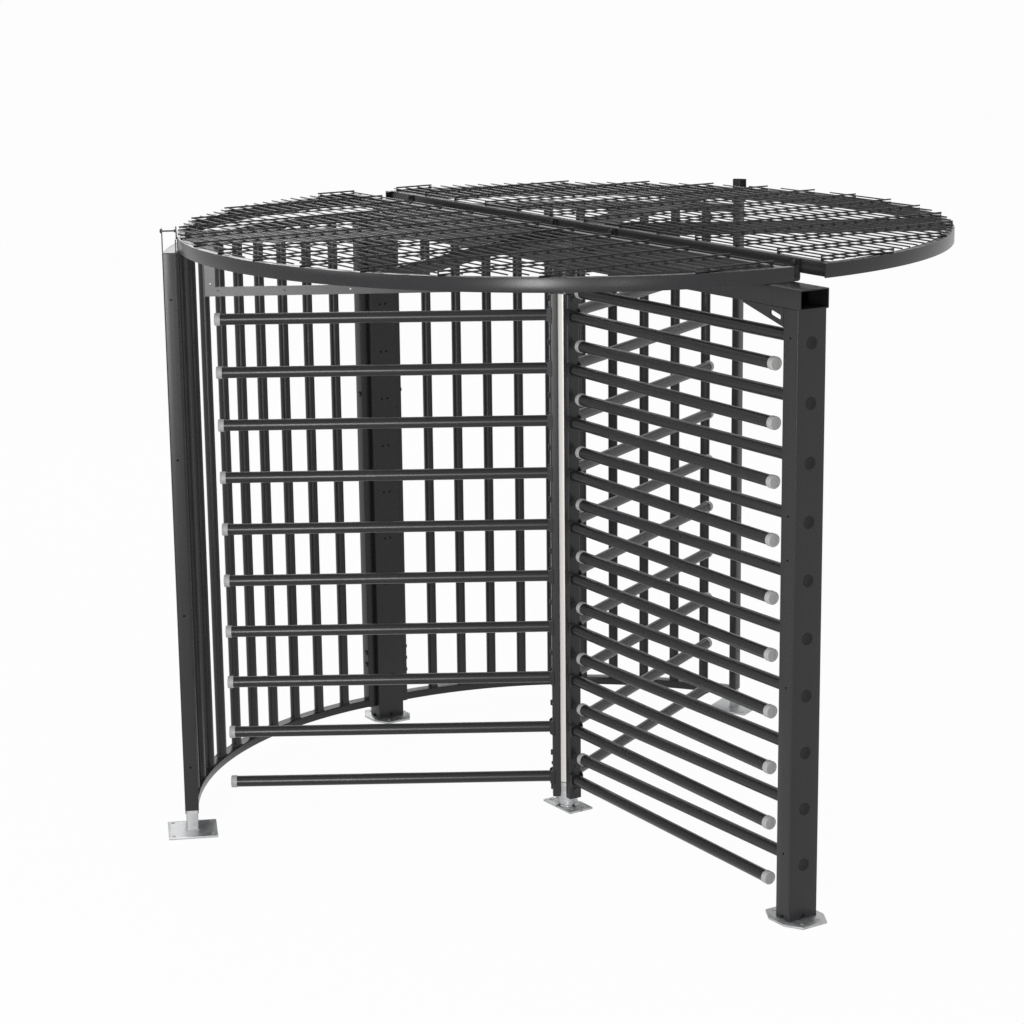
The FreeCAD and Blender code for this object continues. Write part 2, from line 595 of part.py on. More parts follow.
for name, side in SIDES.items():
    node(f"{name}_cage_bottom_rail", made(f"{name}_bottom_rail", rail(name, side, size("bottom_rail_low"))))
    node(f"{name}_cage_top_rail", made(f"{name}_top_rail", rail(name, side, size("top_rail_low"))))
    tubes = []
    for number in range(int(size(f"{name}_tubes"))):
        turn = f"({name}_first + {number} * {name}_step)"
        at = (
            f"-cage_radius * cos({turn})",
            f"{side} * (cage_centre + cage_radius * sin({turn}))",
            "bottom_rail_low + rail_height",
        )
        length = "top_rail_low - bottom_rail_low - rail_height"
        tubes.append(prism(f"{name}_tube_{number + 1}", at, "cage_tube_radius", length))
    node(f"{name}_cage_bars", group(f"{name}_tube_set", tubes))

    # The inner end post stands beside the column and is bolted to it.
    low_y = "beam_depth / 2" if side > 0 else "-beam_depth / 2 - end_post_width"
    end_x = "(-cage_radius - rail_depth / 2 + end_post_inset)"
    end_low = (end_x, low_y, "bottom_rail_low")
    end_height = "top_rail_low + rail_height - bottom_rail_low"
    end_post = cut(
        f"{name}_end_post",
        box(f"{name}_end_outer", end_low, "rail_depth", "end_post_width", end_height),
        box(
            f"{name}_end_inner",
            (end_x + " + rail_wall", low_y + " + rail_wall", "bottom_rail_low + rail_wall"),
            "rail_depth - 2 * rail_wall",
            "end_post_width - 2 * rail_wall",
            end_height + " - 2 * rail_wall",
        ),
    )
    node(f"{name}_cage_end_post", end_post)

    # The outer post is open at the foot for its stub, and carries the roof's rim.
    turn = f"(180 - {side} * {name}_post_turn)"
    outer = cut(
        f"{name}_outer_post_tube",
        box(
            f"{name}_post_outer",
            ("cage_radius - outer_post_depth / 2", "-outer_post_width / 2", "outer_post_low"),
            "outer_post_depth",
            "outer_post_width",
            "outer_post_high - outer_post_low",
        ),
        box(
            f"{name}_post_inner",
            (
                "cage_radius - outer_post_depth / 2 + rail_wall",
                "-outer_post_width / 2 + rail_wall",
                "outer_post_low - 1",
            ),
            "outer_post_depth - 2 * rail_wall",
            "outer_post_width - 2 * rail_wall",
            "outer_post_high - outer_post_low - rail_wall + 1",
        ),
        *[
            prism(
                f"{name}_post_hole_{number + 1}",
                ("cage_radius", "-outer_post_width / 2 - 1", f"post_hole_low + {number} * post_hole_step"),
                "post_hole_radius",
                "outer_post_width + 2",
                ALONG_Y,
                6,
            )
            for number in range(int(size("post_hole_count")))
        ],
    )
    node(f"{name}_outer_post", turned(outer, turn, "0", f"{side} * cage_centre"))

    # Foot: a bright plate with a stub that slides into the post.
    foot_plate = box(
        f"{name}_foot_plate",
        ("cage_radius - foot_plate_side / 2", "-foot_plate_side / 2", "0"),
        "foot_plate_side",
        "foot_plate_side",
        "plate_thick",
    )
    stub = box(
        f"{name}_foot_stub",
        ("cage_radius - stub_depth / 2", "-stub_width / 2", "plate_thick / 2"),
        "stub_depth",
        "stub_width",
        "stub_top - plate_thick / 2",
    )
    foot_holes = []
    for x_side in (-1, 1):
        for y_side in (-1, 1):
            at = (f"cage_radius + {x_side} * foot_bolt_side / 2", f"{y_side} * foot_bolt_side / 2", "-1")
            hole = rod(f"{name}_foot_hole_{len(foot_holes) + 1}", at, "anchor_radius", "plate_thick + 2")
            foot_holes.append(hole)
    foot = cut(f"{name}_foot", fuse(f"{name}_foot_weld", foot_plate, stub), *foot_holes)
    node(f"{name}_post_foot", turned(foot, turn, "0", f"{side} * cage_centre"))

    # Bracket on the post's top: an open U whose cheeks take the roof bolt.
    bracket = cut(
        f"{name}_bracket",
        box(
            f"{name}_bracket_block",
            ("cage_radius - outer_post_depth / 2", "-bracket_width / 2", "outer_post_high"),
            "outer_post_depth",
            "bracket_width",
            "rim_low + rim_height + bracket_rise - outer_post_high",
        ),
        box(
            f"{name}_bracket_gap",
            (
                "cage_radius - outer_post_depth / 2 + bracket_wall",
                "-bracket_width / 2 - 1",
                "outer_post_high + bracket_wall",
            ),
            "outer_post_depth - 2 * bracket_wall",
            "bracket_width + 2",
            "rim_low + rim_height + bracket_rise - outer_post_high",
        ),
        box(
            f"{name}_bracket_step",
            (
                "cage_radius - outer_post_depth / 2 - 1",
                "-bracket_width / 2 - 1",
                "rim_low + rim_height - bracket_step",
            ),
            "bracket_wall + 2",
            "bracket_width + 2",
            "bracket_rise + bracket_step + 1",
        ),
        prism(
            f"{name}_bracket_hole",
            ("cage_radius", "0", "rim_low + rim_height + roof_bolt_rise"),
            "roof_bolt_radius + weld_gap",
            "outer_post_depth",
            ALONG_X,
            6,
        ),
    )
    node(f"{name}_roof_bracket", turned(bracket, turn, "0", f"{side} * cage_centre"))

    # The heads of the bolts that hold the end post to the column's side.
    for level, height in enumerate(COLUMN_BOLT_LEVELS, start=1):
        across = f"{side} * (beam_depth / 2 + end_post_width)"
        at = ("-rear_post_middle - column_bolt_shift", across, height)
        out = ALONG_Y if side > 0 else BACK_Y
        column_bolts.append(hexagon(f"{name}_column_bolt_{level}", at, out))
node("column_bolts", group("column_bolt_set", column_bolts))

# Centre pedestal: a floor plate with a fixed sleeve, and the rotor's spindle inside it.
pedestal_top = "(rotor_foot - pedestal_gap)"
floor_plate = box(
    "pedestal_plate",
    ("-pedestal_long / 2", "-pedestal_deep / 2", "0"),
    "pedestal_long",
    "pedestal_deep",
    "plate_thick",
)
drain_low = "plate_thick - drain_size / sqrt(2)"
sleeve = cut(
    "pedestal_sleeve",
    rod("pedestal_outer", ("0", "0", "plate_thick"), "pedestal_radius", pedestal_top + " - plate_thick"),
    rod("pedestal_bore", ("0", "0", "plate_thick - 1"), "pedestal_radius - pedestal_wall", pedestal_top),
    primitive(
        "Box",
        "pedestal_drain_x",
        ("-pedestal_radius - 1", "0", drain_low),
        (Vector(1, 0, 0), 45),
        Length="2 * pedestal_radius + 2",
        Width="drain_size",
        Height="drain_size",
    ),
    primitive(
        "Box",
        "pedestal_drain_y",
        ("0", "-pedestal_radius - 1", drain_low),
        (Vector(0, 1, 0), -45),
        Length="drain_size",
        Width="2 * pedestal_radius + 2",
        Height="drain_size",
    ),
)
pedestal_cuts = []
for x_side in (-1, 1):
    for y_side in (-1, 1):
        at = (f"{x_side} * pedestal_bolt_long / 2", f"{y_side} * pedestal_bolt_deep / 2", "-1")
        name = f"pedestal_hole_{len(pedestal_cuts) + 1}"
        pedestal_cuts.append(rod(name, at, "anchor_radius", "plate_thick + 2"))
node("pedestal", cut("pedestal", fuse("pedestal_weld", floor_plate, sleeve), *pedestal_cuts))
spindle_top = "(rotor_foot + bush_length)"
spindle = rod("spindle", ("0", "0", "plate_thick"), "spindle_radius", spindle_top + " - plate_thick")
node("rotor_spindle", spindle)

# Rotor: a stainless tube that turns on the spindle below and in the beam above.
rotor_tube = cut(
    "rotor_tube",
    rod("rotor_outer", ("0", "0", "rotor_foot"), "rotor_radius", "rotor_top - rotor_foot"),
    rod(
        "rotor_bore",
        ("0", "0", "rotor_foot - 1"),
        "rotor_radius - rotor_wall",
        "rotor_top - rotor_foot + 2",
    ),
)
node("rotor_tube", rotor_tube)

# Lower bush and thrust disc: both fixed in the tube, round and on top of the spindle.
tube_fit = "rotor_radius - rotor_wall - weld_gap"
bush = cut(
    "lower_bush",
    rod("bush_outer", ("0", "0", "rotor_foot"), tube_fit, "bush_length + running_gap"),
    rod("bush_bore", ("0", "0", "rotor_foot - 1"), "spindle_radius + running_gap", "bush_length + 2"),
)
node("lower_bush", bush)
thrust_low = ("0", "0", spindle_top + " + running_gap")
node("thrust_disc", rod("thrust_disc", thrust_low, tube_fit, "thrust_thick"))

# Upper shaft: its disc closes the tube's top, and it turns in two bearings.
shaft = fuse(
    "top_shaft",
    rod("shaft_disc", ("0", "0", "rotor_top - shaft_flange"), tube_fit, "shaft_flange"),
    rod(
        "shaft_pin",
        ("0", "0", "rotor_top - shaft_flange / 2"),
        "shaft_radius",
        "shaft_top - rotor_top + shaft_flange / 2",
    ),
)
node("top_shaft", shaft)

housing = cut(
    "bearing_housing",
    fuse(
        "housing_weld",
        rod("housing_sleeve", ("0", "0", "housing_low"), "housing_radius", "beam_floor - housing_low"),
        box(
            "housing_flange",
            ("-flange_side / 2", "-flange_side / 2", "beam_floor - flange_thick"),
            "flange_side",
            "flange_side",
            "flange_thick",
        ),
    ),
    rod(
        "housing_bore",
        ("0", "0", "housing_low + housing_lip"),
        "bearing_radius + running_gap",
        "beam_floor - housing_low",
    ),
    rod("housing_mouth", ("0", "0", "housing_low - 1"), "shaft_hole_radius", "housing_lip + 2"),
)
node("top_bearing_housing", housing)
bearings = []
for name, low in (
    ("lower", "housing_low + housing_lip"),
    ("upper", "beam_floor - bearing_height"),
):
    ring = cut(
        f"{name}_bearing",
        rod(f"{name}_bearing_outer", ("0", "0", low), "bearing_radius", "bearing_height"),
        rod(
            f"{name}_bearing_bore",
            ("0", "0", low + " - 1"),
            "shaft_radius + running_gap",
            "bearing_height + 2",
        ),
    )
    bearings.append(ring)
node("top_bearings", group("bearing_set", bearings))
flange_bolts = []
for x_side in (-1, 1):
    for y_side in (-1, 1):
        at = (
            f"{x_side} * flange_bolt_place",
            f"{y_side} * flange_bolt_place",
            "beam_floor - flange_thick - head_height",
        )
        flange_bolts.append(hexagon(f"flange_bolt_{len(flange_bolts) + 1}", at))
node("flange_bolts", group("flange_bolt_set", flange_bolts))


def wing_channel():
    """Folded channel that clasps the centre tube, with ears beside every wing bar."""
    half = size("channel_width") / 2
    wall = size("channel_wall")
    reach = size("channel_reach")
    foot = size("channel_foot")
    height = size("rotor_top") - foot
    clasp = size("rotor_radius") + size("weld_gap")
    root = math.sqrt(clasp ** 2 - (half - wall) ** 2)
    fold = Part.makeBox(reach - root, 2 * half, height, Vector(root, -half, foot))
    corner = Vector(root - wall, wall - half, foot - 1)
    inside = Part.makeBox(reach - root, 2 * (half - wall), height + 2, corner)
    ear_reach = reach + size("ear_reach")
    ears = []
    for number in bars:
        middle = size("first_wing_bar") + number * size("bar_pitch")
        long = size("ear_root") / 2
        short = size("ear_height") / 2
        corners = [
            (reach - wall, -long),
            (reach, -long),
            (ear_reach, -short),
            (ear_reach, short),
            (reach, long),
            (reach - wall, long),
        ]
        points = [Vector(x, -half, middle + z) for x, z in corners]
        ear = Part.Face(Part.makePolygon(points + points[:1])).extrude(Vector(0, wall, 0))
        ears.append(ear)
        ears.append(ear.translated(Vector(0, 2 * half - wall, 0)))
    return fold.cut(inside).fuse(ears).removeSplitter()


# Wings: three arms of ten tubes, welded to a channel between its ears and closed by caps.
wing_caps = []
wing_bolts = []
HEADS = [("wing_bolt_low", "1"), ("wing_screw_low", "0.6"), ("rotor_top - wing_bolt_drop", "1")]
HEADS += [(f"first_wing_bar + wing_bolt_rise + {number} * bar_pitch", "1") for number in bars[:-1]]
for number, letter in enumerate("abc"):
    turn = f"(rest_angle + {number} * wing_step)"
    channel = made(f"channel_{letter}", wing_channel())
    node(f"wing_channel_{letter}", turned(channel, turn))
    tubes = []
    caps = []
    for bar in bars:
        height = f"first_wing_bar + {bar} * bar_pitch"
        at = ("channel_reach", "0", height)
        length = "wing_reach - cap_length - channel_reach"
        tubes.append(prism(f"wing_{letter}_tube_{bar + 1}", at, "tube_radius", length, ALONG_X))
        at = ("wing_reach - cap_length", "0", height)
        caps.append(prism(f"wing_{letter}_cap_{bar + 1}", at, "cap_radius", "cap_length", ALONG_X, 12))
    node(f"wing_bars_{letter}", turned(group(f"wing_{letter}_tube_set", tubes), turn))
    wing_caps.append(turned(group(f"wing_{letter}_cap_set", caps), turn))
    heads = []
    for height, share in HEADS:
        name = f"wing_{letter}_bolt_{len(heads) + 1}"
        heads.append(hexagon(name, ("channel_reach", "0", height), ALONG_X, share))
    wing_bolts.append(turned(group(f"wing_{letter}_bolt_set", heads), turn))
node("wing_end_caps", group("wing_cap_set", wing_caps))
node("wing_bolts", group("wing_bolt_set", wing_bolts))

# Locking disc on the upper shaft: a ring of notches over a hub.
disc = fuse(
    "lock_disc",
    rod("disc_ring", ("0", "0", "disc_low"), "disc_radius", "disc_thick"),
    rod("disc_hub", ("0", "0", "disc_low - hub_height"), "hub_radius", "hub_height + disc_thick / 2"),
)
bore_low = ("0", "0", "disc_low - hub_height - 1")
disc_cuts = [rod("disc_bore", bore_low, "shaft_radius + weld_gap", "hub_height + disc_thick + 2")]
for number in range(int(size("notch_count"))):
    notch = box(
        f"notch_{number + 1}",
        ("disc_radius - notch_deep", "-notch_width / 2", "disc_low - 1"),
        "notch_deep + 10",
        "notch_width",
        "disc_thick + 2",
    )
    turn = f"{number} * 360 / notch_count"
    notch_group = group(f"notch_place_{number + 1}", [notch])
    disc_cuts.append(turned(notch_group, turn))
node("lock_disc", cut("lock_disc", disc, *disc_cuts))

# Pawls: one for each way of turning, on pins that stand on the beam's floor. At rest
# a pawl's nose is clear of the disc. Its solenoid's plunger pushes it into a notch.
pawl_low = "(disc_low + disc_thick / 2 - pawl_thick / 2)"
pins = []
for name, side in (("entry", 1), ("exit", -1)):
    at = (f"{side} * pawl_pin_along", f"{side} * pawl_pin_across", "beam_floor + beam_wall")
    foot = prism(
        f"{name}_pin_foot",
        at,
        "2 * pawl_pin_radius",
        pawl_low + " - face_gap - beam_floor - beam_wall",
        None,
        6,
    )
    height = pawl_low + " + pawl_thick + pawl_pin_rise - beam_floor - beam_wall"
    pin = rod(f"{name}_pin_shank", at, "pawl_pin_radius", height)
    pins.append(fuse(f"{name}_pin", foot, pin))
node("pawl_pins", group("pawl_pin_set", pins))


def pawl(side):
    """Flat lever from its boss to its nose, outlined about its pin."""
    nose = size("pawl_nose")
    drop = size("pawl_drop")
    back = size("pawl_back")
    boss = size("pawl_boss")
    thick = size("pawl_thick")
    point = size("pawl_point")
    neck = size("pawl_neck")
    corners = [
        (back, 0),
        (back, -drop),
        (back - size("pawl_flat"), -drop),
        (-nose, point - drop),
        (neck - nose, point + size("pawl_slope") - drop),
        (neck - nose, 0),
    ]
    points = [Vector(x, y, 0) for x, y in corners]
    lever = Part.Face(Part.makePolygon(points + points[:1])).extrude(Vector(0, 0, thick))
    bore = Part.makeCylinder(size("pawl_pin_radius") + size("running_gap"), thick + 2, Vector(0, 0, -1))
    shape = lever.fuse(Part.makeCylinder(boss, thick)).removeSplitter().cut(bore)
    low = size("disc_low") + size("disc_thick") / 2 - thick / 2
    along = side * size("pawl_pin_along")
    across = side * size("pawl_pin_across")
    turn = 0 if side > 0 else 180
    shape.Placement = Placement(Vector(along, across, low), Rotation(Vector(0, 0, 1), turn))
    return shape


solenoids = []
plunger_height = "(disc_low + disc_thick / 2)"
for name, side in (("entry", 1), ("exit", -1)):
    node(f"{name}_pawl", made(f"{name}_pawl_lever", pawl(side)))
    across = f"{side} * (pawl_pin_across - plunger_arm)"
    low_x = "solenoid_place" if side > 0 else "-solenoid_place - solenoid_long"
    coil = cut(
        f"{name}_solenoid",
        box(
            f"{name}_solenoid_frame",
            (low_x, across + " - solenoid_deep / 2", "beam_floor + beam_wall"),
            "solenoid_long",
            "solenoid_deep",
            "solenoid_high",
        ),
        rod(
            f"{name}_solenoid_bore",
            (low_x + " - 1", across, plunger_height),
            "plunger_radius + running_gap",
            "solenoid_long + 2",
            ALONG_X,
        ),
    )
    solenoids.append(coil)
    tip = "(pawl_pin_along + pawl_back + face_gap)"
    toward = ALONG_X if side > 0 else BACK_X
    nose = primitive(
        "Box",
        f"{name}_plunger_nose",
        (f"{side} * {tip}", across, plunger_height + " - plunger_nose / 2"),
        (Vector(0, 0, 1), -45 if side > 0 else 135),
        Length="plunger_nose",
        Width="plunger_nose",
        Height="plunger_nose",
    )
    shank = rod(
        f"{name}_plunger_shank",
        (f"{side} * ({tip} + plunger_nose)", across, plunger_height),
        "plunger_radius",
        f"plunger_end - {tip} - plunger_nose",
        toward,
    )
    node(f"{name}_plunger", fuse(f"{name}_plunger", nose, shank))
node("lock_solenoids", group("solenoid_set", solenoids))

# Roof: two flat half frames, each a bent rim with a chord and two ribs, hung beside
# the beam on saddles and bolted over the outer posts. A welded mat lies on each rim.
rim_inner = f"({RIM_RADIUS} - rim_thick)"


def rib(name, turn):
    """A rib from the chord to the rim, along its own X before it is turned."""
    reach_in = f"((chord_place + rim_thick / 2 + rim_thick / 2 * cos({turn})) / sin({turn}))"
    return box(
        name,
        (reach_in, "-rim_thick / 2", "rim_low"),
        f"{rim_inner} - {reach_in} - weld_gap",
        "rim_thick",
        "chord_height",
    )


def roof_bolt_place(name):
    """The rim's outer face in the frame of an outer post, along its X."""
    return f"({RIM_RADIUS} - {post_distance(name)} + cage_radius)"


rim_radius = (
    math.sqrt(
        size("cage_radius") ** 2
        + size("cage_centre") ** 2
        + 2 * size("cage_radius") * size("cage_centre") * math.sin(math.radians(size("left_post_turn")))
    )
    - size("outer_post_depth") / 2
    - size("rim_gap")
)
saddles = []
saddle_bolts = []
roof_bolts = []
for half, side, name in (("front", -1, "left"), ("rear", 1, "rear")):
    ring = cut(
        f"{half}_rim",
        rod(f"{half}_rim_outer", ("0", "0", "rim_low"), RIM_RADIUS, "rim_height"),
        rod(f"{half}_rim_inner", ("0", "0", "rim_low - 1"), rim_inner, "rim_height + 2"),
        box(
            f"{half}_rim_open",
            (f"-{RIM_RADIUS} - 1", f"-{RIM_RADIUS} - 1" if side > 0 else "-rim_end", "rim_low - 2"),
            f"2 * {RIM_RADIUS} + 2",
            f"{RIM_RADIUS} + rim_end + 1",
            "rim_height + 4",
        ),
    )
    node(f"roof_{half}_rim", ring)
    chord_half = f"sqrt({rim_inner} ^ 2 - (chord_place + rim_thick / 2) ^ 2)"
    chord = box(
        f"{half}_chord",
        (f"-{chord_half}", f"{side} * chord_place - rim_thick / 2", "rim_low"),
        f"2 * {chord_half}",
        "rim_thick",
        "chord_height",
    )
    ribs = []
    for number, turn in enumerate(("rib_turn", "(180 - rib_turn)"), start=1):
        place = group(f"{half}_rib_place_{number}", [rib(f"{half}_rib_{number}", turn)])
        ribs.append(turned(place, turn if side > 0 else f"(360 - {turn})"))
    node(f"roof_{half}_frame", group(f"{half}_frame_set", [chord] + ribs))

    # Mat: pairs of rods across the half, with wires between the two layers. The rods
    # and wires beside the lug of the roof bolt end on the rim.
    post_turn = math.radians(size(f"{name}_post_turn"))
    lug_reach = size("cage_radius") - size("outer_post_depth") / 2
    lug_along = lug_reach * math.cos(post_turn)
    lug_across = size("cage_centre") + lug_reach * math.sin(post_turn)
    mat = []
    steps = int((rim_radius + abs(size("rod_first"))) / size("rod_step")) + 1
    places = [size("rod_first") + number * size("rod_step") for number in range(-steps, steps + 1)]
    for number, place in enumerate(places):
        if abs(place) > rim_radius - 2 * size("mat_overhang"):
            continue
        along = f"(rod_first + {number - steps} * rod_step)"
        near_lug = abs(place + lug_along) < size("lug_width") / 2 + 2 * size("rod_radius")
        over = "-rod_radius" if near_lug else "mat_overhang"
        length = f"sqrt({RIM_RADIUS} ^ 2 - {along} ^ 2) + {over} - chord_place + mat_overhang"
        for layer, rise in (("lower", "rod_radius"), ("upper", "3 * rod_radius + 2 * wire_radius")):
            at = (along, f"{side} * (chord_place - mat_overhang)", f"{RIM_TOP} + {rise}")
            toward = ALONG_Y if side > 0 else BACK_Y
            label = f"{half}_{layer}_rod_{number + 1}"
            mat.append(prism(label, at, "rod_radius / cos(30)", length, toward, 6))
    wire_count = int((rim_radius - size("chord_place")) / size("wire_step"))
    for number in range(wire_count + 1):
        across = f"(chord_place + {number} * wire_step)"
        reach = f"sqrt({RIM_RADIUS} ^ 2 - {across} ^ 2)"
        place = size("chord_place") + number * size("wire_step")
        near_lug = abs(place - lug_across) < size("lug_width") / 2 + 2 * size("wire_radius")
        over = "-mat_overhang" if near_lug else "mat_overhang"
        at = (f"-{reach} - {over}", f"{side} * {across}", f"{RIM_TOP} + 2 * rod_radius + wire_radius")
        length = f"2 * {reach} + {over} + mat_overhang"
        mat.append(prism(f"{half}_wire_{number + 1}", at, "wire_radius", length, ALONG_X, 6))
    node(f"roof_{half}_mat", group(f"{half}_mat_set", mat))

    # Lug on the rim and bolt from the bracket's outer cheek, in the post's frame.
    turn = f"(180 - {side} * {name}_post_turn)"
    face = roof_bolt_place(name)
    bolt_height = f"{RIM_TOP} + roof_bolt_rise"
    lug = cut(
        f"{half}_lug",
        box(
            f"{half}_lug_plate",
            (face + " + face_gap", "-lug_width / 2", f"{RIM_TOP} - lug_lap"),
            "lug_thick",
            "lug_width",
            "lug_lap + lug_rise",
        ),
        prism(
            f"{half}_lug_hole",
            (face, "0", bolt_height),
            "roof_bolt_radius + weld_gap",
            "2 * lug_thick",
            ALONG_X,
            6,
        ),
    )
    roof_bolts.append(turned(group(f"{half}_lug_place", [lug]), turn, "0", f"{side} * cage_centre"))
    cheek = "cage_radius + outer_post_depth / 2"
    shank = prism(
        f"{half}_roof_bolt_shank",
        (face + " + face_gap", "0", bolt_height),
        "roof_bolt_radius",
        f"{cheek} - {face} + head_height / 2",
        ALONG_X,
        6,
    )
    head = hexagon(f"{half}_roof_bolt_head", (cheek, "0", bolt_height), ALONG_X, "0.8")
    bolt = fuse(f"{half}_roof_bolt", shank, head)
    roof_bolts.append(turned(group(f"{half}_roof_bolt_place", [bolt]), turn, "0", f"{side} * cage_centre"))
node("roof_post_bolts", group("roof_bolt_set", roof_bolts))

# Saddles: flats across the beam's top, turned up at both ends against the chords.
for number, place in enumerate(("-saddle_far", "-saddle_near", "saddle_near", "saddle_far"), start=1):
    half_span = "(chord_place - rim_thick / 2)"
    saddle_top = "(rim_low + chord_height - 2)"
    saddle = cut(
        f"saddle_{number}",
        box(
            f"saddle_block_{number}",
            (f"{place} - saddle_width / 2", f"-{half_span}", beam_top),
            "saddle_width",
            f"2 * {half_span}",
            f"{saddle_top} - {beam_top}",
        ),
        box(
            f"saddle_gap_{number}",
            (
                f"{place} - saddle_width / 2 - 1",
                f"saddle_thick - {half_span}",
                beam_top + " + saddle_thick",
            ),
            "saddle_width + 2",
            f"2 * ({half_span} - saddle_thick)",
            f"{saddle_top} - {beam_top}",
        ),
    )
    saddles.append(saddle)
    for side, out, inward in ((-1, BACK_Y, ALONG_Y), (1, ALONG_Y, BACK_Y)):
        label = f"{number}_{'left' if side < 0 else 'right'}"
        height = "rim_low + chord_height - saddle_bolt_drop"
        at = (place, f"{side} * ({half_span} - saddle_thick)", height)
        saddle_bolts.append(hexagon(f"saddle_nut_{label}", at, inward))
        at = (place, f"{side} * saddle_foot_bolt", beam_top + " + saddle_thick")
        saddle_bolts.append(hexagon(f"saddle_foot_bolt_{label}", at))
node("roof_saddles", group("saddle_set", saddles))
node("saddle_bolts", group("saddle_bolt_set", saddle_bolts))

# Head guard: a flat over the wings' path, with an upright that laps the front rib.
guard = fuse(
    "head_guard",
    box(
        "guard_flat",
        ("sqrt(housing_radius ^ 2 - (rim_thick / 2) ^ 2)", "rim_thick / 2", "guard_low"),
        "guard_reach - sqrt(housing_radius ^ 2 - (rim_thick / 2) ^ 2)",
        "guard_thick",
        "guard_height",
    ),
    box(
        "guard_upright",
        ("guard_reach - guard_upright", "rim_thick / 2", "guard_low"),
        "guard_upright",
        "guard_thick",
        "rim_low + chord_height - 2 - guard_low",
    ),
)
node("head_guard", turned(guard, "(180 + rib_turn)"))

doc.recompute()

faults = [piece.Label for piece in doc.Objects if "Invalid" in piece.State or "Error" in piece.State]
for label, piece in NODES:
    if piece.Shape.isNull() or not piece.Shape.isValid() or not piece.Shape.Solids:
        faults.append(label)
if faults:
    raise RuntimeError("these objects failed: " + ", ".join(faults))

os.makedirs("parts", exist_ok=True)
for label, piece in NODES:
    piece.Shape.exportStep(os.path.join("parts", label + ".step"))
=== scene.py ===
import math

import bmesh
import bpy
from mathutils import Matrix, Quaternion, Vector


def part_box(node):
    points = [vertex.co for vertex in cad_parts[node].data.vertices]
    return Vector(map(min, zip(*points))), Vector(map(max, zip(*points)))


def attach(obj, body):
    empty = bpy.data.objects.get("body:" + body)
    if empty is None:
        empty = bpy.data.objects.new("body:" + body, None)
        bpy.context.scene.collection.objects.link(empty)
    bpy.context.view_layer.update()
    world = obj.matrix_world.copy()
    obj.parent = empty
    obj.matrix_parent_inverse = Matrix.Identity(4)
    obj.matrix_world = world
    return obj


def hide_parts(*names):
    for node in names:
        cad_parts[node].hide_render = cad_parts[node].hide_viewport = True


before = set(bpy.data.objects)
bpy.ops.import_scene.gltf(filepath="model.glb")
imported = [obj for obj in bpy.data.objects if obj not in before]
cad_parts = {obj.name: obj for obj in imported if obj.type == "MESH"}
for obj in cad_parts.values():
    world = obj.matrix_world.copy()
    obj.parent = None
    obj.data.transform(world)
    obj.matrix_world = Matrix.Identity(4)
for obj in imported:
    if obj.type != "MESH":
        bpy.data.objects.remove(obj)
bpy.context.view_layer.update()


# Comb post and rear column: rolled rectangular steel tube, 120 by 74 mm, stood on edge
# and powder coated black. Round holes take plugs, small ones are tapped, and half
# diamond windows at the foot let water out.
def linear(code):
    """An sRGB hex colour as linear red, green, blue and alpha."""
    channels = [int(code[place:place + 2], 16) / 255 for place in (1, 3, 5)]
    straight = [c / 12.92 if c <= 0.04045 else ((c + 0.055) / 1.055) ** 2.4 for c in channels]
    return (*straight, 1.0)


def add(tree, kind, inputs=None, **settings):
    """Add a shader node, set it up, and link or fill its inputs."""
    made = tree.nodes.new("ShaderNode" + kind)
    for name, value in settings.items():
        setattr(made, name, value)
    for name, value in (inputs or {}).items():
        if isinstance(value, bpy.types.NodeSocket):
            tree.links.new(value, made.inputs[name])
        else:
            made.inputs[name].default_value = value
    return made


def finish(name):
    """A new material with its node tree, its shader and its object coordinates."""
    made = bpy.data.materials.new(name)
    made.use_nodes = True
    tree = made.node_tree
    return made, tree, tree.nodes["Principled BSDF"], add(tree, "TexCoord").outputs["Object"]


def powder_coat(name, dark, light):
    """Polyester powder baked on steel: half matt, even, with a faint orange peel."""
    made, tree, shader, place = finish(name)
    peel_wave = 0.0035
    cloud_wave = 0.18
    cloud = add(tree, "TexNoise", {"Vector": place, "Scale": 1 / cloud_wave, "Detail": 3.0})
    shade = add(
        tree,
        "Mix",
        {0: cloud.outputs["Fac"], 6: linear(dark), 7: linear(light)},
        data_type="RGBA",
    )
    peel = add(tree, "TexNoise", {"Vector": place, "Scale": 1 / peel_wave, "Detail": 1.0})
    gloss = add(
        tree,
        "MapRange",
        {"Value": peel.outputs["Fac"], "To Min": 0.24, "To Max": 0.32},
    )
    bump = add(
        tree,
        "Bump",
        {"Height": peel.outputs["Fac"], "Strength": 0.12, "Distance": 0.0004},
    )
    tree.links.new(shade.outputs[2], shader.inputs["Base Color"])
    tree.links.new(gloss.outputs["Result"], shader.inputs["Roughness"])
    tree.links.new(bump.outputs["Normal"], shader.inputs["Normal"])
    shader.inputs["IOR"].default_value = 1.38
    return made


black_coat = powder_coat("black_powder_coat", "#222224", "#28282a")
tolerance = 1e-6
merge_distance = 1e-7


def round_off(part, geometry, width, segments, affect="EDGES"):
    """Round some edges, or the corners of a flat outline."""
    bmesh.ops.bevel(
        part,
        geom=geometry,
        offset=width,
        offset_type="OFFSET",
        segments=segments,
        profile=0.5,
        affect=affect,
        material=-1,
    )


def bar(along_x, along_y, along_z, corner=0.0, rounded="Z", segments=4):
    """A block about the origin whose edges along one axis are rounded."""
    part = bmesh.new()
    bmesh.ops.create_cube(part, size=1.0)
    bmesh.ops.scale(part, vec=(along_x, along_y, along_z), verts=part.verts)
    if corner:
        axis = "XYZ".index(rounded)
        edges = [e for e in part.edges if abs((e.verts[0].co - e.verts[1].co)[axis]) > tolerance]
        round_off(part, edges, corner, segments)
    return part


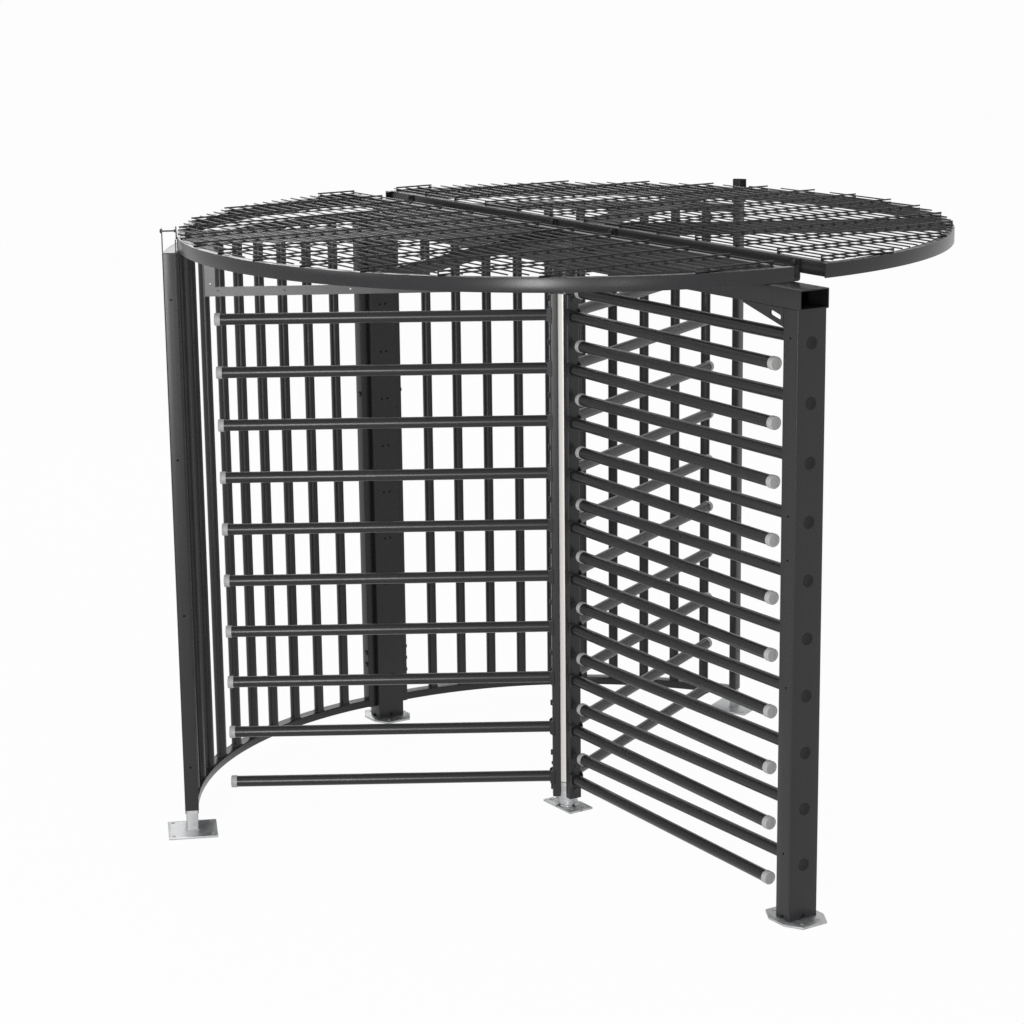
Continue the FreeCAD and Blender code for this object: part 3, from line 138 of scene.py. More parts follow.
def hollow_bar(along_x, along_y, along_z, wall, corner, axis="Z"):
    """A rectangular tube: its ends are inset by the wall and bridged through."""
    part = bar(along_x, along_y, along_z, corner, axis)
    part.normal_update()
    number = "XYZ".index(axis)
    ends = [face for face in part.faces if abs(face.normal[number]) > 0.99]
    bmesh.ops.inset_region(part, faces=ends, thickness=wall, use_even_offset=True)
    loops = list({edge for face in ends for edge in face.edges})
    bmesh.ops.delete(part, geom=ends, context="FACES_ONLY")
    bmesh.ops.bridge_loops(part, edges=loops)
    return part


def rod(radius, length, segments=48, chamfer=0.0):
    """A round bar from the origin up, its ends broken by a small chamfer."""
    part = bmesh.new()
    bmesh.ops.create_cone(
        part, cap_ends=True, segments=segments, radius1=radius, radius2=radius, depth=length
    )
    bmesh.ops.translate(part, vec=(0, 0, length / 2), verts=part.verts)
    if chamfer:
        rims = [e for e in part.edges if abs(e.verts[0].co.z - e.verts[1].co.z) < tolerance]
        round_off(part, rims, chamfer, 2)
    return part


def shift(x, y, z):
    return Matrix.Translation((x, y, z))


def turn(degrees, axis="Z"):
    return Matrix.Rotation(math.radians(degrees), 4, axis)


TO_X = turn(90, "Y")
FROM_X = turn(-90, "Y")
TO_Y = turn(-90, "X")
FROM_Y = turn(90, "X")


def set_in(whole, part, place=Matrix.Identity(4)):
    """Move a finished part to its place and add it to a piece."""
    part.transform(place)
    mesh = bpy.data.meshes.new("part")
    part.to_mesh(mesh)
    part.free()
    whole.from_mesh(mesh)
    bpy.data.meshes.remove(mesh)


def soften(mesh):
    """Smooth shading, broken where faces meet at more than 35 degrees."""
    mesh.polygons.foreach_set("use_smooth", [True] * len(mesh.polygons))
    mesh.set_sharp_from_angle(angle=math.radians(35))


def piece(name, part, material, body, slot, *replaced):
    """Turn a finished bmesh into a named piece of the object that rides on a body."""
    bmesh.ops.recalc_face_normals(part, faces=part.faces)
    mesh = bpy.data.meshes.new(name)
    part.to_mesh(mesh)
    part.free()
    soften(mesh)
    mesh.materials.append(material)
    made = bpy.data.objects.new(name, mesh)
    bpy.context.scene.collection.objects.link(made)
    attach(made, body)
    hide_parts(*replaced)
    return made


def drill(made, cutters):
    """Cut closed shapes out of a piece."""
    bmesh.ops.recalc_face_normals(cutters, faces=cutters.faces)
    mesh = bpy.data.meshes.new("cutters")
    cutters.to_mesh(mesh)
    cutters.free()
    tool = bpy.data.objects.new("cutters", mesh)
    bpy.context.scene.collection.objects.link(tool)
    cut = made.modifiers.new("holes", "BOOLEAN")
    cut.operation = "DIFFERENCE"
    cut.solver = "EXACT"
    cut.use_self = True
    cut.object = tool
    graph = bpy.context.evaluated_depsgraph_get()
    drilled = bpy.data.meshes.new_from_object(made.evaluated_get(graph))
    made.modifiers.clear()
    made.data = drilled
    soften(drilled)
    bpy.data.objects.remove(tool)


def hole(cutters, radius, place, segments=16, length=0.020):
    """A round cutter, half of it below the face at its place and half above."""
    set_in(cutters, rod(radius, length, segments), place @ shift(0, 0, -length / 2))


def drain(made, place, across_x, across_y, side):
    """Cut a diamond through a hollow foot, along X and along Y."""
    for along_x, along_y, axis in ((across_x, side, "X"), (side, across_y, "Y")):
        window = bmesh.new()
        set_in(window, bar(along_x, along_y, side), place @ turn(45, axis))
        drill(made, window)


bar_count = 10
bar_pitch = 0.200
first_comb_bar = 0.2146
plug_radius = 0.022
plug_drop = 0.011
tapped_radius = 0.0042
comb_tapped_heights = (0.2446, 0.8346, 1.2746, 1.4246, 2.0196)
column_tapped_rows = 9
column_tapped_drop = 0.016
column_tapped_side = 0.0135
window_side = 0.026
tube_wall = 0.004
tube_corner = 0.003
plate_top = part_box("comb_post_base_plate")[1].z


def post(name):
    """A post with its drain windows, ready for its holes."""
    low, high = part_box(name)
    size = high - low
    middle = (low + high) / 2
    shell = bmesh.new()
    set_in(shell, hollow_bar(*size, tube_wall, tube_corner), shift(*middle))
    made = piece(name + "_tube", shell, black_coat, "frame", "black_steel", name)
    drain(made, shift(middle.x, 0, plate_top), 2 * size.x, 2 * size.y, window_side)
    return made


comb_post = post("comb_post")
comb_low, comb_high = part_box("comb_post")
comb_middle = (comb_low.x + comb_high.x) / 2
plug_heights = [first_comb_bar - plug_drop + number * bar_pitch for number in range(bar_count)]
holes = bmesh.new()
for height in plug_heights:
    hole(holes, plug_radius, shift(comb_high.x, 0, height) @ TO_X, 48)
for height in comb_tapped_heights:
    hole(holes, tapped_radius, shift(comb_middle, comb_low.y, height) @ TO_Y)
drill(comb_post, holes)

rear_column = post("rear_column")
column_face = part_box("rear_column")[1].x
holes = bmesh.new()
for number in range(column_tapped_rows):
    height = first_comb_bar - column_tapped_drop + number * bar_pitch
    for side in (-column_tapped_side, column_tapped_side):
        hole(holes, tapped_radius, shift(column_face, side, height) @ TO_X)
drill(rear_column, holes)


# Plugs: black polyethylene caps pressed into the holes of the comb post's outer face,
# one behind each comb tube. Each has a thin head with a soft edge and a dished middle.
def lathe(outline, steps=48):
    """Spin an outline of (height, radius) about the vertical. It closes on the axis or on itself."""
    part = bmesh.new()
    points = [part.verts.new((radius, 0, height)) for height, radius in outline]
    edges = [part.edges.new(pair) for pair in zip(points, points[1:])]
    if outline[0][1] or outline[-1][1]:
        edges.append(part.edges.new((points[-1], points[0])))
    bmesh.ops.spin(
        part,
        geom=points + edges,
        cent=(0, 0, 0),
        axis=(0, 0, 1),
        angle=2 * math.pi,
        steps=steps,
        use_merge=True,
        use_duplicate=False,
    )
    bmesh.ops.remove_doubles(part, verts=part.verts, dist=merge_distance)
    return part


def moulded(name, dark, light, roughness, ior):
    """Moulded plastic: even colour, a fine grain from the mould and soft gloss."""
    made, tree, shader, place = finish(name)
    grain_width = 0.002
    grain = add(tree, "TexNoise", {"Vector": place, "Scale": 1 / grain_width, "Detail": 2.0})
    shade = add(
        tree,
        "Mix",
        {0: grain.outputs["Fac"], 6: linear(dark), 7: linear(light)},
        data_type="RGBA",
    )
    bump = add(
        tree,
        "Bump",
        {"Height": grain.outputs["Fac"], "Strength": 0.1, "Distance": 0.0002},
    )
    tree.links.new(shade.outputs[2], shader.inputs["Base Color"])
    tree.links.new(bump.outputs["Normal"], shader.inputs["Normal"])
    shader.inputs["Roughness"].default_value = roughness
    shader.inputs["IOR"].default_value = ior
    return made


plug_plastic = moulded("black_polyethylene", "#121213", "#18181a", 0.45, 1.3)
plug_head = 0.0012
plug_depth = 0.012
plug_dish = plug_head * 0.6
plugs = bmesh.new()
for height in plug_heights:
    plug = lathe(
        [
            (-plug_depth, 0),
            (-plug_depth, plug_radius - 0.002),
            (0, plug_radius - 0.0002),
            (0, plug_radius),
            (plug_head * 0.5, plug_radius),
            (plug_head, plug_radius - 0.0008),
            (plug_head, plug_radius * 0.72),
            (plug_dish, plug_radius * 0.66),
            (plug_dish, 0),
        ],
        36,
    )
    set_in(plugs, plug, shift(comb_high.x, 0, height) @ TO_X)
piece("comb_post_plug_caps", plugs, plug_plastic, "frame", "plug_plastic", "comb_post_plugs")


# Base plates under both posts: 8 mm plate, sawn to shape, drilled for anchors and hot dip
# galvanised, which leaves a bright skin of zinc with flat crystals.
def galvanised(name):
    """Zinc skin: bright metal in flat crystals about a centimetre across."""
    made, tree, shader, place = finish(name)
    crystal = 0.012
    cells = add(tree, "TexVoronoi", {"Vector": place, "Scale": 1 / crystal, "Randomness": 1.0})
    tone = add(tree, "RGBToBW", {"Color": cells.outputs["Color"]})
    shade = add(
        tree,
        "Mix",
        {0: tone.outputs["Val"], 6: linear("#a2a3a4"), 7: linear("#b8b9ba")},
        data_type="RGBA",
    )
    gloss = add(tree, "MapRange", {"Value": tone.outputs["Val"], "To Min": 0.34, "To Max": 0.5})
    bump = add(
        tree,
        "Bump",
        {"Height": tone.outputs["Val"], "Strength": 0.08, "Distance": 0.0002},
    )
    tree.links.new(shade.outputs[2], shader.inputs["Base Color"])
    tree.links.new(gloss.outputs["Result"], shader.inputs["Roughness"])
    tree.links.new(bump.outputs["Normal"], shader.inputs["Normal"])
    shader.inputs["Metallic"].default_value = 0.85
    return made


zinc = galvanised("galvanised_steel")
plate_edge = 0.0007
anchor_radius = 0.007
plate_cut = 0.060
plate_bevel = 0.035
post_anchors = (0.152, 0.072)


def drawn_out(part, along):
    """Pull a part's flat outlines into solids."""
    drawn = bmesh.ops.extrude_face_region(part, geom=list(part.faces))
    moved = [item for item in drawn["geom"] if isinstance(item, bmesh.types.BMVert)]
    bmesh.ops.translate(part, vec=along, verts=moved)
    return part


def flat_plate(outline, thick):
    """A plate sawn to an outline about the origin, its edges broken with a file."""
    part = bmesh.new()
    part.faces.new([part.verts.new((x, y, 0)) for x, y in outline])
    drawn_out(part, (0, 0, thick))
    round_off(part, list(part.edges), plate_edge, 2)
    return part


def four_holes(across, along, place):
    """Cutters for the four anchor holes of a floor plate."""
    part = bmesh.new()
    for x_side in (-1, 1):
        for y_side in (-1, 1):
            at = place @ shift(x_side * across / 2, y_side * along / 2, plate_top / 2)
            hole(part, anchor_radius, at, 32, 3 * plate_top)
    return part


for name in ("comb_post", "rear_column"):
    node = name + "_base_plate"
    low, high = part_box(node)
    half_long = (high.x - low.x) / 2
    half_deep = (high.y - low.y) / 2
    outline = [
        (half_long - plate_cut, -half_deep),
        (half_long, -half_deep + plate_bevel),
        (half_long, half_deep - plate_bevel),
        (half_long - plate_cut, half_deep),
        (-half_long + plate_cut, half_deep),
        (-half_long, half_deep - plate_bevel),
        (-half_long, -half_deep + plate_bevel),
        (-half_long + plate_cut, -half_deep),
    ]
    middle = shift((low.x + high.x) / 2, 0, 0)
    plate = bmesh.new()
    set_in(plate, flat_plate(outline, plate_top), middle)
    plate = piece(name + "_floor_plate", plate, zinc, "frame", "galvanised", node)
    drill(plate, four_holes(*post_anchors, middle))


# Overhead beam: the same tube laid over both posts and welded to them, open at both
# ends. A screwed cover closes the service opening over the locking mechanism, and
# plates with an oblong slot stiffen the corners.
beam_low, beam_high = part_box("overhead_beam")
beam_size = beam_high - beam_low
beam_middle = (beam_low + beam_high) / 2
shaft_hole = 0.028
cover_lap_long = 0.040
cover_lap_deep = 0.028
beam = bmesh.new()
set_in(beam, hollow_bar(*beam_size, tube_wall, tube_corner, "X"), shift(*beam_middle))
beam = piece("overhead_beam_tube", beam, black_coat, "frame", "black_steel", "overhead_beam")


def paint_inside_shade(name):
    """Painted shade for the inside of a tube: a dark, dull coat that stands in for the shade deep in
    the hollow, mottled at random.
    """
    made, tree, shader, place = finish(name)
    patch_width = 0.02
    # A random mottle in the painted shade.
    scale = add(tree, "TexNoise", {"Vector": place, "Scale": 1 / patch_width, "Detail": 4.0})
    shade = add(
        tree,
        "Mix",
        {0: scale.outputs["Fac"], 6: linear("#0c0c0d"), 7: linear("#151516")},
        data_type="RGBA",
    )
    tree.links.new(shade.outputs[2], shader.inputs["Base Color"])
    shader.inputs["Roughness"].default_value = 0.85
    shader.inputs["Specular IOR Level"].default_value = 0.1
    return made


def dress(material, *nodes):
    """Give CAD nodes a finish."""
    for name in nodes:
        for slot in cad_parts[name].material_slots:
            slot.link = "OBJECT"
            slot.material = material


# The faces inside the beam's tube get the painted shade: dark and dull, in place of the shade that
# falls deep inside the open tube.
beam.data.materials.append(paint_inside_shade("painted_inside_shade"))
within = beam_size / 2 - Vector((0, tube_wall, tube_wall)) * 0.6
for face in beam.data.polygons:
    out = face.center - beam_middle
    if abs(out.y) < within.y and abs(out.z) < within.z:
        face.material_index = 1
cover_low, cover_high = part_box("mechanism_cover")
cover_size = cover_high - cover_low
openings = bmesh.new()
hole(openings, shaft_hole, shift(0, 0, beam_low.z), 48)
window = bar(cover_size.x - cover_lap_long, cover_size.y - cover_lap_deep, 5 * tube_wall)
set_in(openings, window, shift(0, 0, beam_high.z))
drill(beam, openings)
dress(black_coat, "mechanism_cover")

gusset_long = 0.215
gusset_deep = 0.063
gusset_tip = 0.005
gusset_thick = 0.005
slot_radius = 0.0085
slot_run = 0.038
slot_inward = 0.0409
slot_below = 0.0271


def gusset():
    """Corner plate from the post's face inwards, in the post's own frame."""
    part = bmesh.new()
    corners = [(0, 0), (-gusset_long, 0), (-gusset_long, -gusset_tip), (0, -gusset_deep)]
    part.faces.new([part.verts.new((x, 0, z)) for x, z in corners])
    return drawn_out(part, (0, gusset_thick, 0))


gussets = bmesh.new()
slots = bmesh.new()
slope = math.degrees(math.atan2(gusset_deep - gusset_tip, gusset_long))
in_plate = shift(-slot_inward, gusset_thick / 2, -slot_below) @ turn(slope, "Y")
for face, mirror in ((comb_low.x, 1), (column_face, -1)):
    for edge in (beam_low.y, beam_high.y - gusset_thick):
        place = shift(face, edge, beam_low.z) @ Matrix.Diagonal((mirror, 1, 1, 1))
        set_in(gussets, gusset(), place)
        long = slot_run + 2 * slot_radius
        slot = bar(long, 4 * gusset_thick, 2 * slot_radius, slot_radius * 0.999, "Y", 10)
        set_in(slots, slot, place @ in_plate)
gussets = piece("beam_corner_plates", gussets, black_coat, "frame", "black_steel", "beam_gussets")
drill(gussets, slots)


# Comb: ten round tubes welded to the comb post, whose bare ends near the rotor are
# closed by slip-on caps of light grey polyamide. The wings pass between them.
tube_radius = 0.0212
cap_radius = 0.0234
cap_length = 0.022
cap_skin = 0.0025
cap_rim = 0.0165
cap_sink = 0.0009
tube_in_cap = 0.003
cap_plastic = moulded("grey_polyamide", "#a9a9a8", "#b6b6b5", 0.45, 1.5)


def bead(radius, size):
    """A fillet weld round a tube, on the face below it."""
    return lathe(
        [
            (-0.0005, radius - 0.001),
            (-0.0005, radius + size),
            (size * 0.25, radius + size * 0.92),
            (size * 0.6, radius + size * 0.6),
            (size * 0.92, radius + size * 0.25),
            (size, radius - 0.0002),
            (size, radius - 0.001),
        ],
        32,
    )


def cap():
    """A cap that is slipped on a tube from above: a cup with a soft edge and a sunk face."""
    return lathe(
        [
            (cap_length - cap_skin, 0),
            (cap_length - cap_skin, tube_radius + 0.0001),
            (0, tube_radius + 0.0001),
            (0, cap_radius - 0.0005),
            (0.0005, cap_radius),
            (cap_length - 0.003, cap_radius),
            (cap_length - 0.0016, cap_radius - 0.0005),
            (cap_length - 0.0004, cap_radius - 0.0018),
            (cap_length, cap_radius - 0.0036),
            (cap_length, cap_rim),
            (cap_length - cap_sink, cap_rim - 0.001),
            (cap_length - cap_sink, 0),
        ]
    )


comb_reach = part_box("comb_end_caps")[0].x
inner = comb_reach + tube_in_cap
tubes = bmesh.new()
caps = bmesh.new()
for number in range(bar_count):
    height = first_comb_bar + number * bar_pitch
    set_in(tubes, rod(tube_radius, comb_low.x - inner), shift(inner, 0, height) @ TO_X)
    set_in(tubes, bead(tube_radius, 0.005), shift(comb_low.x, 0, height) @ FROM_X)
    set_in(caps, cap(), shift(comb_reach + cap_length, 0, height) @ FROM_X)
piece("comb_tubes", tubes, black_coat, "frame", "black_steel", "comb_bars")
piece("comb_tube_caps", caps, cap_plastic, "frame", "cap_plastic", "comb_end_caps")


# Cages: rails rolled from flat rectangular tube, round tubes welded between them, an
# end post bolted to the rear column, and an outer post that slides over a galvanised foot.
# Angles are in degrees about each cage's own centre, from the end post on.
cage_side = {"left": -1, "rear": 1}
cage_tubes = {"left": 11, "rear": 10}
first_tube_turn = {"left": 6.352, "rear": 7.46}
tube_turn = {"left": 5.598, "rear": 5.54}
post_turn = {"left": 65.8, "rear": 63.3}
cage_radius = 1.400
cage_centre = 0.052
cage_tube_radius = 0.020
cage_bead = 0.004
rail_depth = 0.050
rail_height = 0.032
rail_corner = 0.004
bottom_rail_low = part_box("left_cage_bottom_rail")[0].z
top_rail_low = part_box("left_cage_top_rail")[0].z
end_post_width = 0.035
outer_post_depth = 0.0516
outer_post_width = 0.030
outer_post_wall = 0.003
lid_inset = 0.002
post_hole_radius = 0.004
post_hole_count = 4
post_hole_first = 0.2556
post_hole_step = 0.591
foot_half = 0.092
foot_anchors = (0.145, 0.145)
stub_depth = 0.0446
stub_width = 0.023
stub_top = 0.240
seam_size = 0.004


def rolled_rail(start, sweep):
    """A rail bent about the vertical, from a round cornered section."""
    slice_width = 0.001
    part = bar(rail_depth, slice_width, rail_height, rail_corner, "Y", 3)
    part.normal_update()
    rest = [face for face in part.faces if face.normal.y > -0.99]
    bmesh.ops.delete(part, geom=rest, context="FACES_ONLY")
    bmesh.ops.delete(part, geom=[e for e in part.edges if not e.link_faces], context="EDGES")
    bmesh.ops.translate(part, vec=(cage_radius, slice_width / 2, 0), verts=part.verts)
    bmesh.ops.spin(
        part,
        geom=list(part.verts) + list(part.edges) + list(part.faces),
        cent=(0, 0, 0),
        axis=(0, 0, 1),
        angle=sweep,
        steps=48,
        use_duplicate=False,
    )
    part.transform(Matrix.Rotation(start, 4, "Z"))
    return part


def rectangle(half_x, half_y):
    """The corners of a rectangle about the origin."""
    return [(half_x, -half_y), (half_x, half_y), (-half_x, half_y), (-half_x, -half_y)]


for name, side in cage_side.items():
    centre = shift(0, side * cage_centre, 0)
    inner_edge = cage_radius - rail_depth / 2
    start = math.asin((beam_high.y + end_post_width - cage_centre) / inner_edge)
    stop = math.radians(post_turn[name]) - math.asin(outer_post_width / 2 / inner_edge)
    begin = math.pi + start if side < 0 else math.pi - stop
    for level, low in (("bottom", bottom_rail_low), ("top", top_rail_low)):
        rail = bmesh.new()
        place = centre @ shift(0, 0, low + rail_height / 2)
        set_in(rail, rolled_rail(begin, stop - start), place)
        node = f"{name}_cage_{level}_rail"
        piece(f"{name}_cage_{level}_rolled_rail", rail, black_coat, "frame", "black_steel", node)

    tubes = bmesh.new()
    floor = bottom_rail_low + rail_height
    for number in range(cage_tubes[name]):
        around = 180 - side * (first_tube_turn[name] + number * tube_turn[name])
        place = centre @ turn(around) @ shift(cage_radius, 0, floor)
        set_in(tubes, rod(cage_tube_radius, top_rail_low - floor), place)
        set_in(tubes, bead(cage_tube_radius, cage_bead), place)
        roof = centre @ turn(around) @ shift(cage_radius, 0, top_rail_low) @ turn(180, "X")
        set_in(tubes, bead(cage_tube_radius, cage_bead), roof)
    piece(f"{name}_cage_tubes", tubes, black_coat, "frame", "black_steel", f"{name}_cage_bars")

    node = f"{name}_cage_end_post"
    low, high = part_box(node)
    end = bmesh.new()
    set_in(end, bar(*(high - low), rail_corner), shift(*((low + high) / 2)))
    piece(f"{name}_cage_end_tube", end, black_coat, "frame", "black_steel", node)

    node = f"{name}_outer_post"
    low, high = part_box(node)
    tall = high.z - low.z
    spot = centre @ turn(180 - side * post_turn[name]) @ shift(cage_radius, 0, 0)
    tube = hollow_bar(outer_post_depth, outer_post_width, tall, outer_post_wall, rail_corner)
    lid = bar(outer_post_depth - 2 * lid_inset, outer_post_width - 2 * lid_inset, outer_post_wall)
    outer = bmesh.new()
    set_in(outer, tube, spot @ shift(0, 0, (low.z + high.z) / 2))
    set_in(outer, lid, spot @ shift(0, 0, high.z - outer_post_wall / 2 - 0.0001))
    outer = piece(f"{name}_outer_tube", outer, black_coat, "frame", "black_steel", node)
    holes = bmesh.new()
    for number in range(post_hole_count):
        at = spot @ shift(0, 0, post_hole_first + number * post_hole_step) @ TO_Y
        hole(holes, post_hole_radius, at, 16, 3 * outer_post_width)
    drill(outer, holes)

    foot = bmesh.new()
    set_in(foot, flat_plate(rectangle(foot_half, foot_half), plate_top), spot)
    stub = bar(stub_depth, stub_width, stub_top - plate_top, rail_corner)
    set_in(foot, stub, spot @ shift(0, 0, (stub_top + plate_top) / 2))
    seam = bar(stub_depth + 2 * seam_size, stub_width + 2 * seam_size, seam_size, 0.006)
    set_in(foot, seam, spot @ shift(0, 0, plate_top + seam_size / 2 - 0.0001))
    node = f"{name}_post_foot"
    foot = piece(f"{name}_foot_plate", foot, zinc, "frame", "galvanised", node)
    drill(foot, four_holes(*foot_anchors, spot))


# Pedestal: a floor plate with a short sleeve welded on it, galvanised, which carries
# the rotor's spindle. Small square windows drain the sleeve.
pedestal_half = (0.0925, 0.0525)
pedestal_anchors = (0.136, 0.060)
sleeve_radius = 0.0374
sleeve_wall = 0.005
sleeve_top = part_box("pedestal")[1].z
sleeve_foot = plate_top - 0.0005
turned_edge = 0.0006
drain_side = 0.012
pedestal = bmesh.new()
set_in(pedestal, flat_plate(rectangle(*pedestal_half), plate_top))
sleeve = lathe(
    [
        (sleeve_foot, sleeve_radius),
        (sleeve_top - turned_edge, sleeve_radius),
        (sleeve_top, sleeve_radius - turned_edge),
        (sleeve_top, sleeve_radius - sleeve_wall + turned_edge),
        (sleeve_top - turned_edge, sleeve_radius - sleeve_wall),
        (sleeve_foot, sleeve_radius - sleeve_wall),
    ],
    96,
)
set_in(pedestal, sleeve)
set_in(pedestal, bead(sleeve_radius, 0.004), shift(0, 0, plate_top))
pedestal = piece("pedestal_sleeve", pedestal, zinc, "frame", "galvanised", "pedestal")
drill(pedestal, four_holes(*pedestal_anchors, Matrix.Identity(4)))
drain(pedestal, shift(0, 0, plate_top), 0.2, 0.2, drain_side)


# Rotor: a stainless tube, ground lengthwise to a satin finish, that turns on the
# pedestal's spindle below and in the bearings above.
def satin_steel(name):
    """Stainless steel ground lengthwise: bright, with fine upright streaks."""
    made, tree, shader, place = finish(name)
    streak_width = 0.0012
    streak_length = 0.25
    stretch = (1 / streak_width, 1 / streak_width, 1 / streak_length)
    grid = add(tree, "Mapping", {"Vector": place, "Scale": stretch})
    streaks = add(tree, "TexNoise", {"Vector": grid.outputs["Vector"], "Scale": 1.0, "Detail": 2.0})
    shade = add(
        tree,
        "Mix",
        {0: streaks.outputs["Fac"], 6: linear("#c9c6c1"), 7: linear("#dedbd6")},
        data_type="RGBA",
    )
    gloss = add(tree, "MapRange", {"Value": streaks.outputs["Fac"], "To Min": 0.24, "To Max": 0.4})
    bump = add(
        tree,
        "Bump",
        {"Height": streaks.outputs["Fac"], "Strength": 0.05, "Distance": 0.0001},
    )
    tree.links.new(shade.outputs[2], shader.inputs["Base Color"])
    tree.links.new(gloss.outputs["Result"], shader.inputs["Roughness"])
    tree.links.new(bump.outputs["Normal"], shader.inputs["Normal"])
    shader.inputs["Metallic"].default_value = 1.0
    return made


stainless = satin_steel("satin_stainless_steel")
rotor_low, rotor_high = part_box("rotor_tube")
rotor_radius = rotor_high.x
rotor_wall = 0.004
tube = lathe(
    [
        (rotor_low.z, rotor_radius - turned_edge),
        (rotor_low.z + turned_edge, rotor_radius),
        (rotor_high.z - turned_edge, rotor_radius),
        (rotor_high.z, rotor_radius - turned_edge),
        (rotor_high.z, rotor_radius - rotor_wall),
        (rotor_low.z, rotor_radius - rotor_wall),
    ],
    96,
)
piece("rotor_centre_tube", tube, stainless, "rotor", "stainless", "rotor_tube")


# Wings: three arms of ten tubes. Each arm's tubes are welded to a folded channel that
# clasps the centre tube, between ears that stand out beside every tube.
rest_angle = -1.7
first_wing_bar = 0.121
wing_reach = 1.299
channel_width = 0.053
channel_reach = 0.058
channel_wall = 0.003
channel_bend = 0.006
channel_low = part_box("wing_channel_a")[0].z
channel_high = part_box("wing_channel_a")[1].z
weld_root = 0.001
ear_reach = 0.011
ear_root = 0.060
ear_height = 0.042
ear_lap = 0.009
ear_shoulder = 0.002
ear_corner = 0.004
head_radius = 0.011
head_height = 0.007
washer_height = 0.0015
foot_bolt = 0.078
foot_screw = 0.174
screw_share = 0.6
bolt_over_bar = 0.096
top_bolt_drop = 0.019


def folded_strip(span, width, height, wall, bend):
    """A strip bent up at both ends of its span along X, standing on the origin."""
    part = bmesh.new()
    bmesh.ops.create_cube(part, size=1.0)
    bmesh.ops.scale(part, vec=(span, width, height), verts=part.verts)
    bmesh.ops.translate(part, vec=(0, 0, height / 2), verts=part.verts)
    part.normal_update()
    open_faces = [f for f in part.faces if f.normal.z > 0.9 or abs(f.normal.y) > 0.9]
    bends = [
        e
        for e in part.edges
        if all(v.co.z < tolerance for v in e.verts)
        and abs(e.verts[0].co.y - e.verts[1].co.y) > tolerance
    ]
    bmesh.ops.delete(part, geom=open_faces, context="FACES_ONLY")
    round_off(part, bends, bend, 5)
    bmesh.ops.delete(part, geom=[e for e in part.edges if not e.link_faces], context="EDGES")
    bmesh.ops.recalc_face_normals(part, faces=part.faces)
    floor_face = min(part.faces, key=lambda face: face.calc_center_median().z)
    if floor_face.normal.z > 0:
        bmesh.ops.reverse_faces(part, faces=part.faces)
    bmesh.ops.solidify(part, geom=list(part.faces), thickness=wall)
    return part


def ears():
    """A pair of flat ears beside a tube, in line with the channel's flanges."""
    outer = channel_reach + ear_reach
    corners = [
        (channel_reach - ear_lap, -ear_root / 2),
        (channel_reach - ear_shoulder, -ear_root / 2),
        (outer, -ear_height / 2),
        (outer, ear_height / 2),
        (channel_reach - ear_shoulder, ear_root / 2),
        (channel_reach - ear_lap, ear_root / 2),
    ]
    part = bmesh.new()
    for low in (-channel_width / 2, channel_width / 2 - channel_wall):
        part.faces.new([part.verts.new((x, low, z)) for x, z in corners])
    drawn_out(part, (0, channel_wall, 0))
    tips = [
        e
        for e in part.edges
        if all(abs(v.co.x - outer) < tolerance for v in e.verts)
        and abs(e.verts[0].co.z - e.verts[1].co.z) < tolerance
    ]
    round_off(part, tips, ear_corner, 3)
    return part


def bolt(share=1.0):
    """A hexagon head with a washer, standing on the origin."""
    part = bmesh.new()
    washer = washer_height * share
    radius = head_radius * share
    set_in(part, rod(radius * 1.05, washer, 24, 0.0003))
    set_in(part, rod(radius, head_height * share - washer, 6, 0.0008), shift(0, 0, washer))
    return part


def coated_steel(name):
    """Black zinc flake on bolts: dark, dry and slightly metallic."""
    made, tree, shader, place = finish(name)
    flake = 0.0015
    speck = add(tree, "TexNoise", {"Vector": place, "Scale": 1 / flake, "Detail": 3.0})
    shade = add(
        tree,
        "Mix",
        {0: speck.outputs["Fac"], 6: linear("#232324"), 7: linear("#343436")},
        data_type="RGBA",
    )
    tree.links.new(shade.outputs[2], shader.inputs["Base Color"])
    shader.inputs["Metallic"].default_value = 0.3
    shader.inputs["Roughness"].default_value = 0.42
    return made


bolt_coat = coated_steel("black_zinc_flake")
clasp_radius = rotor_radius + 0.0002
channel_root = math.sqrt(clasp_radius ** 2 - (channel_width / 2 - channel_wall) ** 2)
bolt_places = [(foot_bolt, 1.0), (foot_screw, screw_share), (channel_high - top_bolt_drop, 1.0)]
for level in range(bar_count - 1):
    bolt_places.append((first_wing_bar + bolt_over_bar + level * bar_pitch, 1.0))
bolts = bmesh.new()
wing_caps = bmesh.new()
for number, letter in enumerate("abc"):
    wing = turn(rest_angle + 120 * number)
    folded = bmesh.new()
    tubes = bmesh.new()
    tall = channel_high - channel_low
    deep = channel_reach - channel_root
    strip = folded_strip(channel_width, tall, deep, channel_wall, channel_bend)
    web = wing @ shift(channel_reach, 0, (channel_low + channel_high) / 2)
    set_in(folded, strip, web @ FROM_X @ turn(90))
    for level in range(bar_count):
        height = first_wing_bar + level * bar_pitch
        set_in(folded, ears(), wing @ shift(0, 0, height))
        root = channel_reach - weld_root
        length = wing_reach - tube_in_cap - root
        set_in(tubes, rod(tube_radius, length), wing @ shift(root, 0, height) @ TO_X)
        set_in(tubes, bead(tube_radius, 0.004), wing @ shift(channel_reach, 0, height) @ TO_X)
        set_in(wing_caps, cap(), wing @ shift(wing_reach - cap_length, 0, height) @ TO_X)
    for height, share in bolt_places:
        set_in(bolts, bolt(share), wing @ shift(channel_reach, 0, height) @ TO_X)
    node = f"wing_channel_{letter}"
    piece(f"wing_{letter}_folded_channel", folded, black_coat, "rotor", "black_steel", node)
    piece(f"wing_{letter}_tubes", tubes, black_coat, "rotor", "black_steel", f"wing_bars_{letter}")
piece("wing_tube_caps", wing_caps, cap_plastic, "rotor", "cap_plastic", "wing_end_caps")
piece("wing_channel_bolts", bolts, bolt_coat, "rotor", "black_fasteners", "wing_bolts")


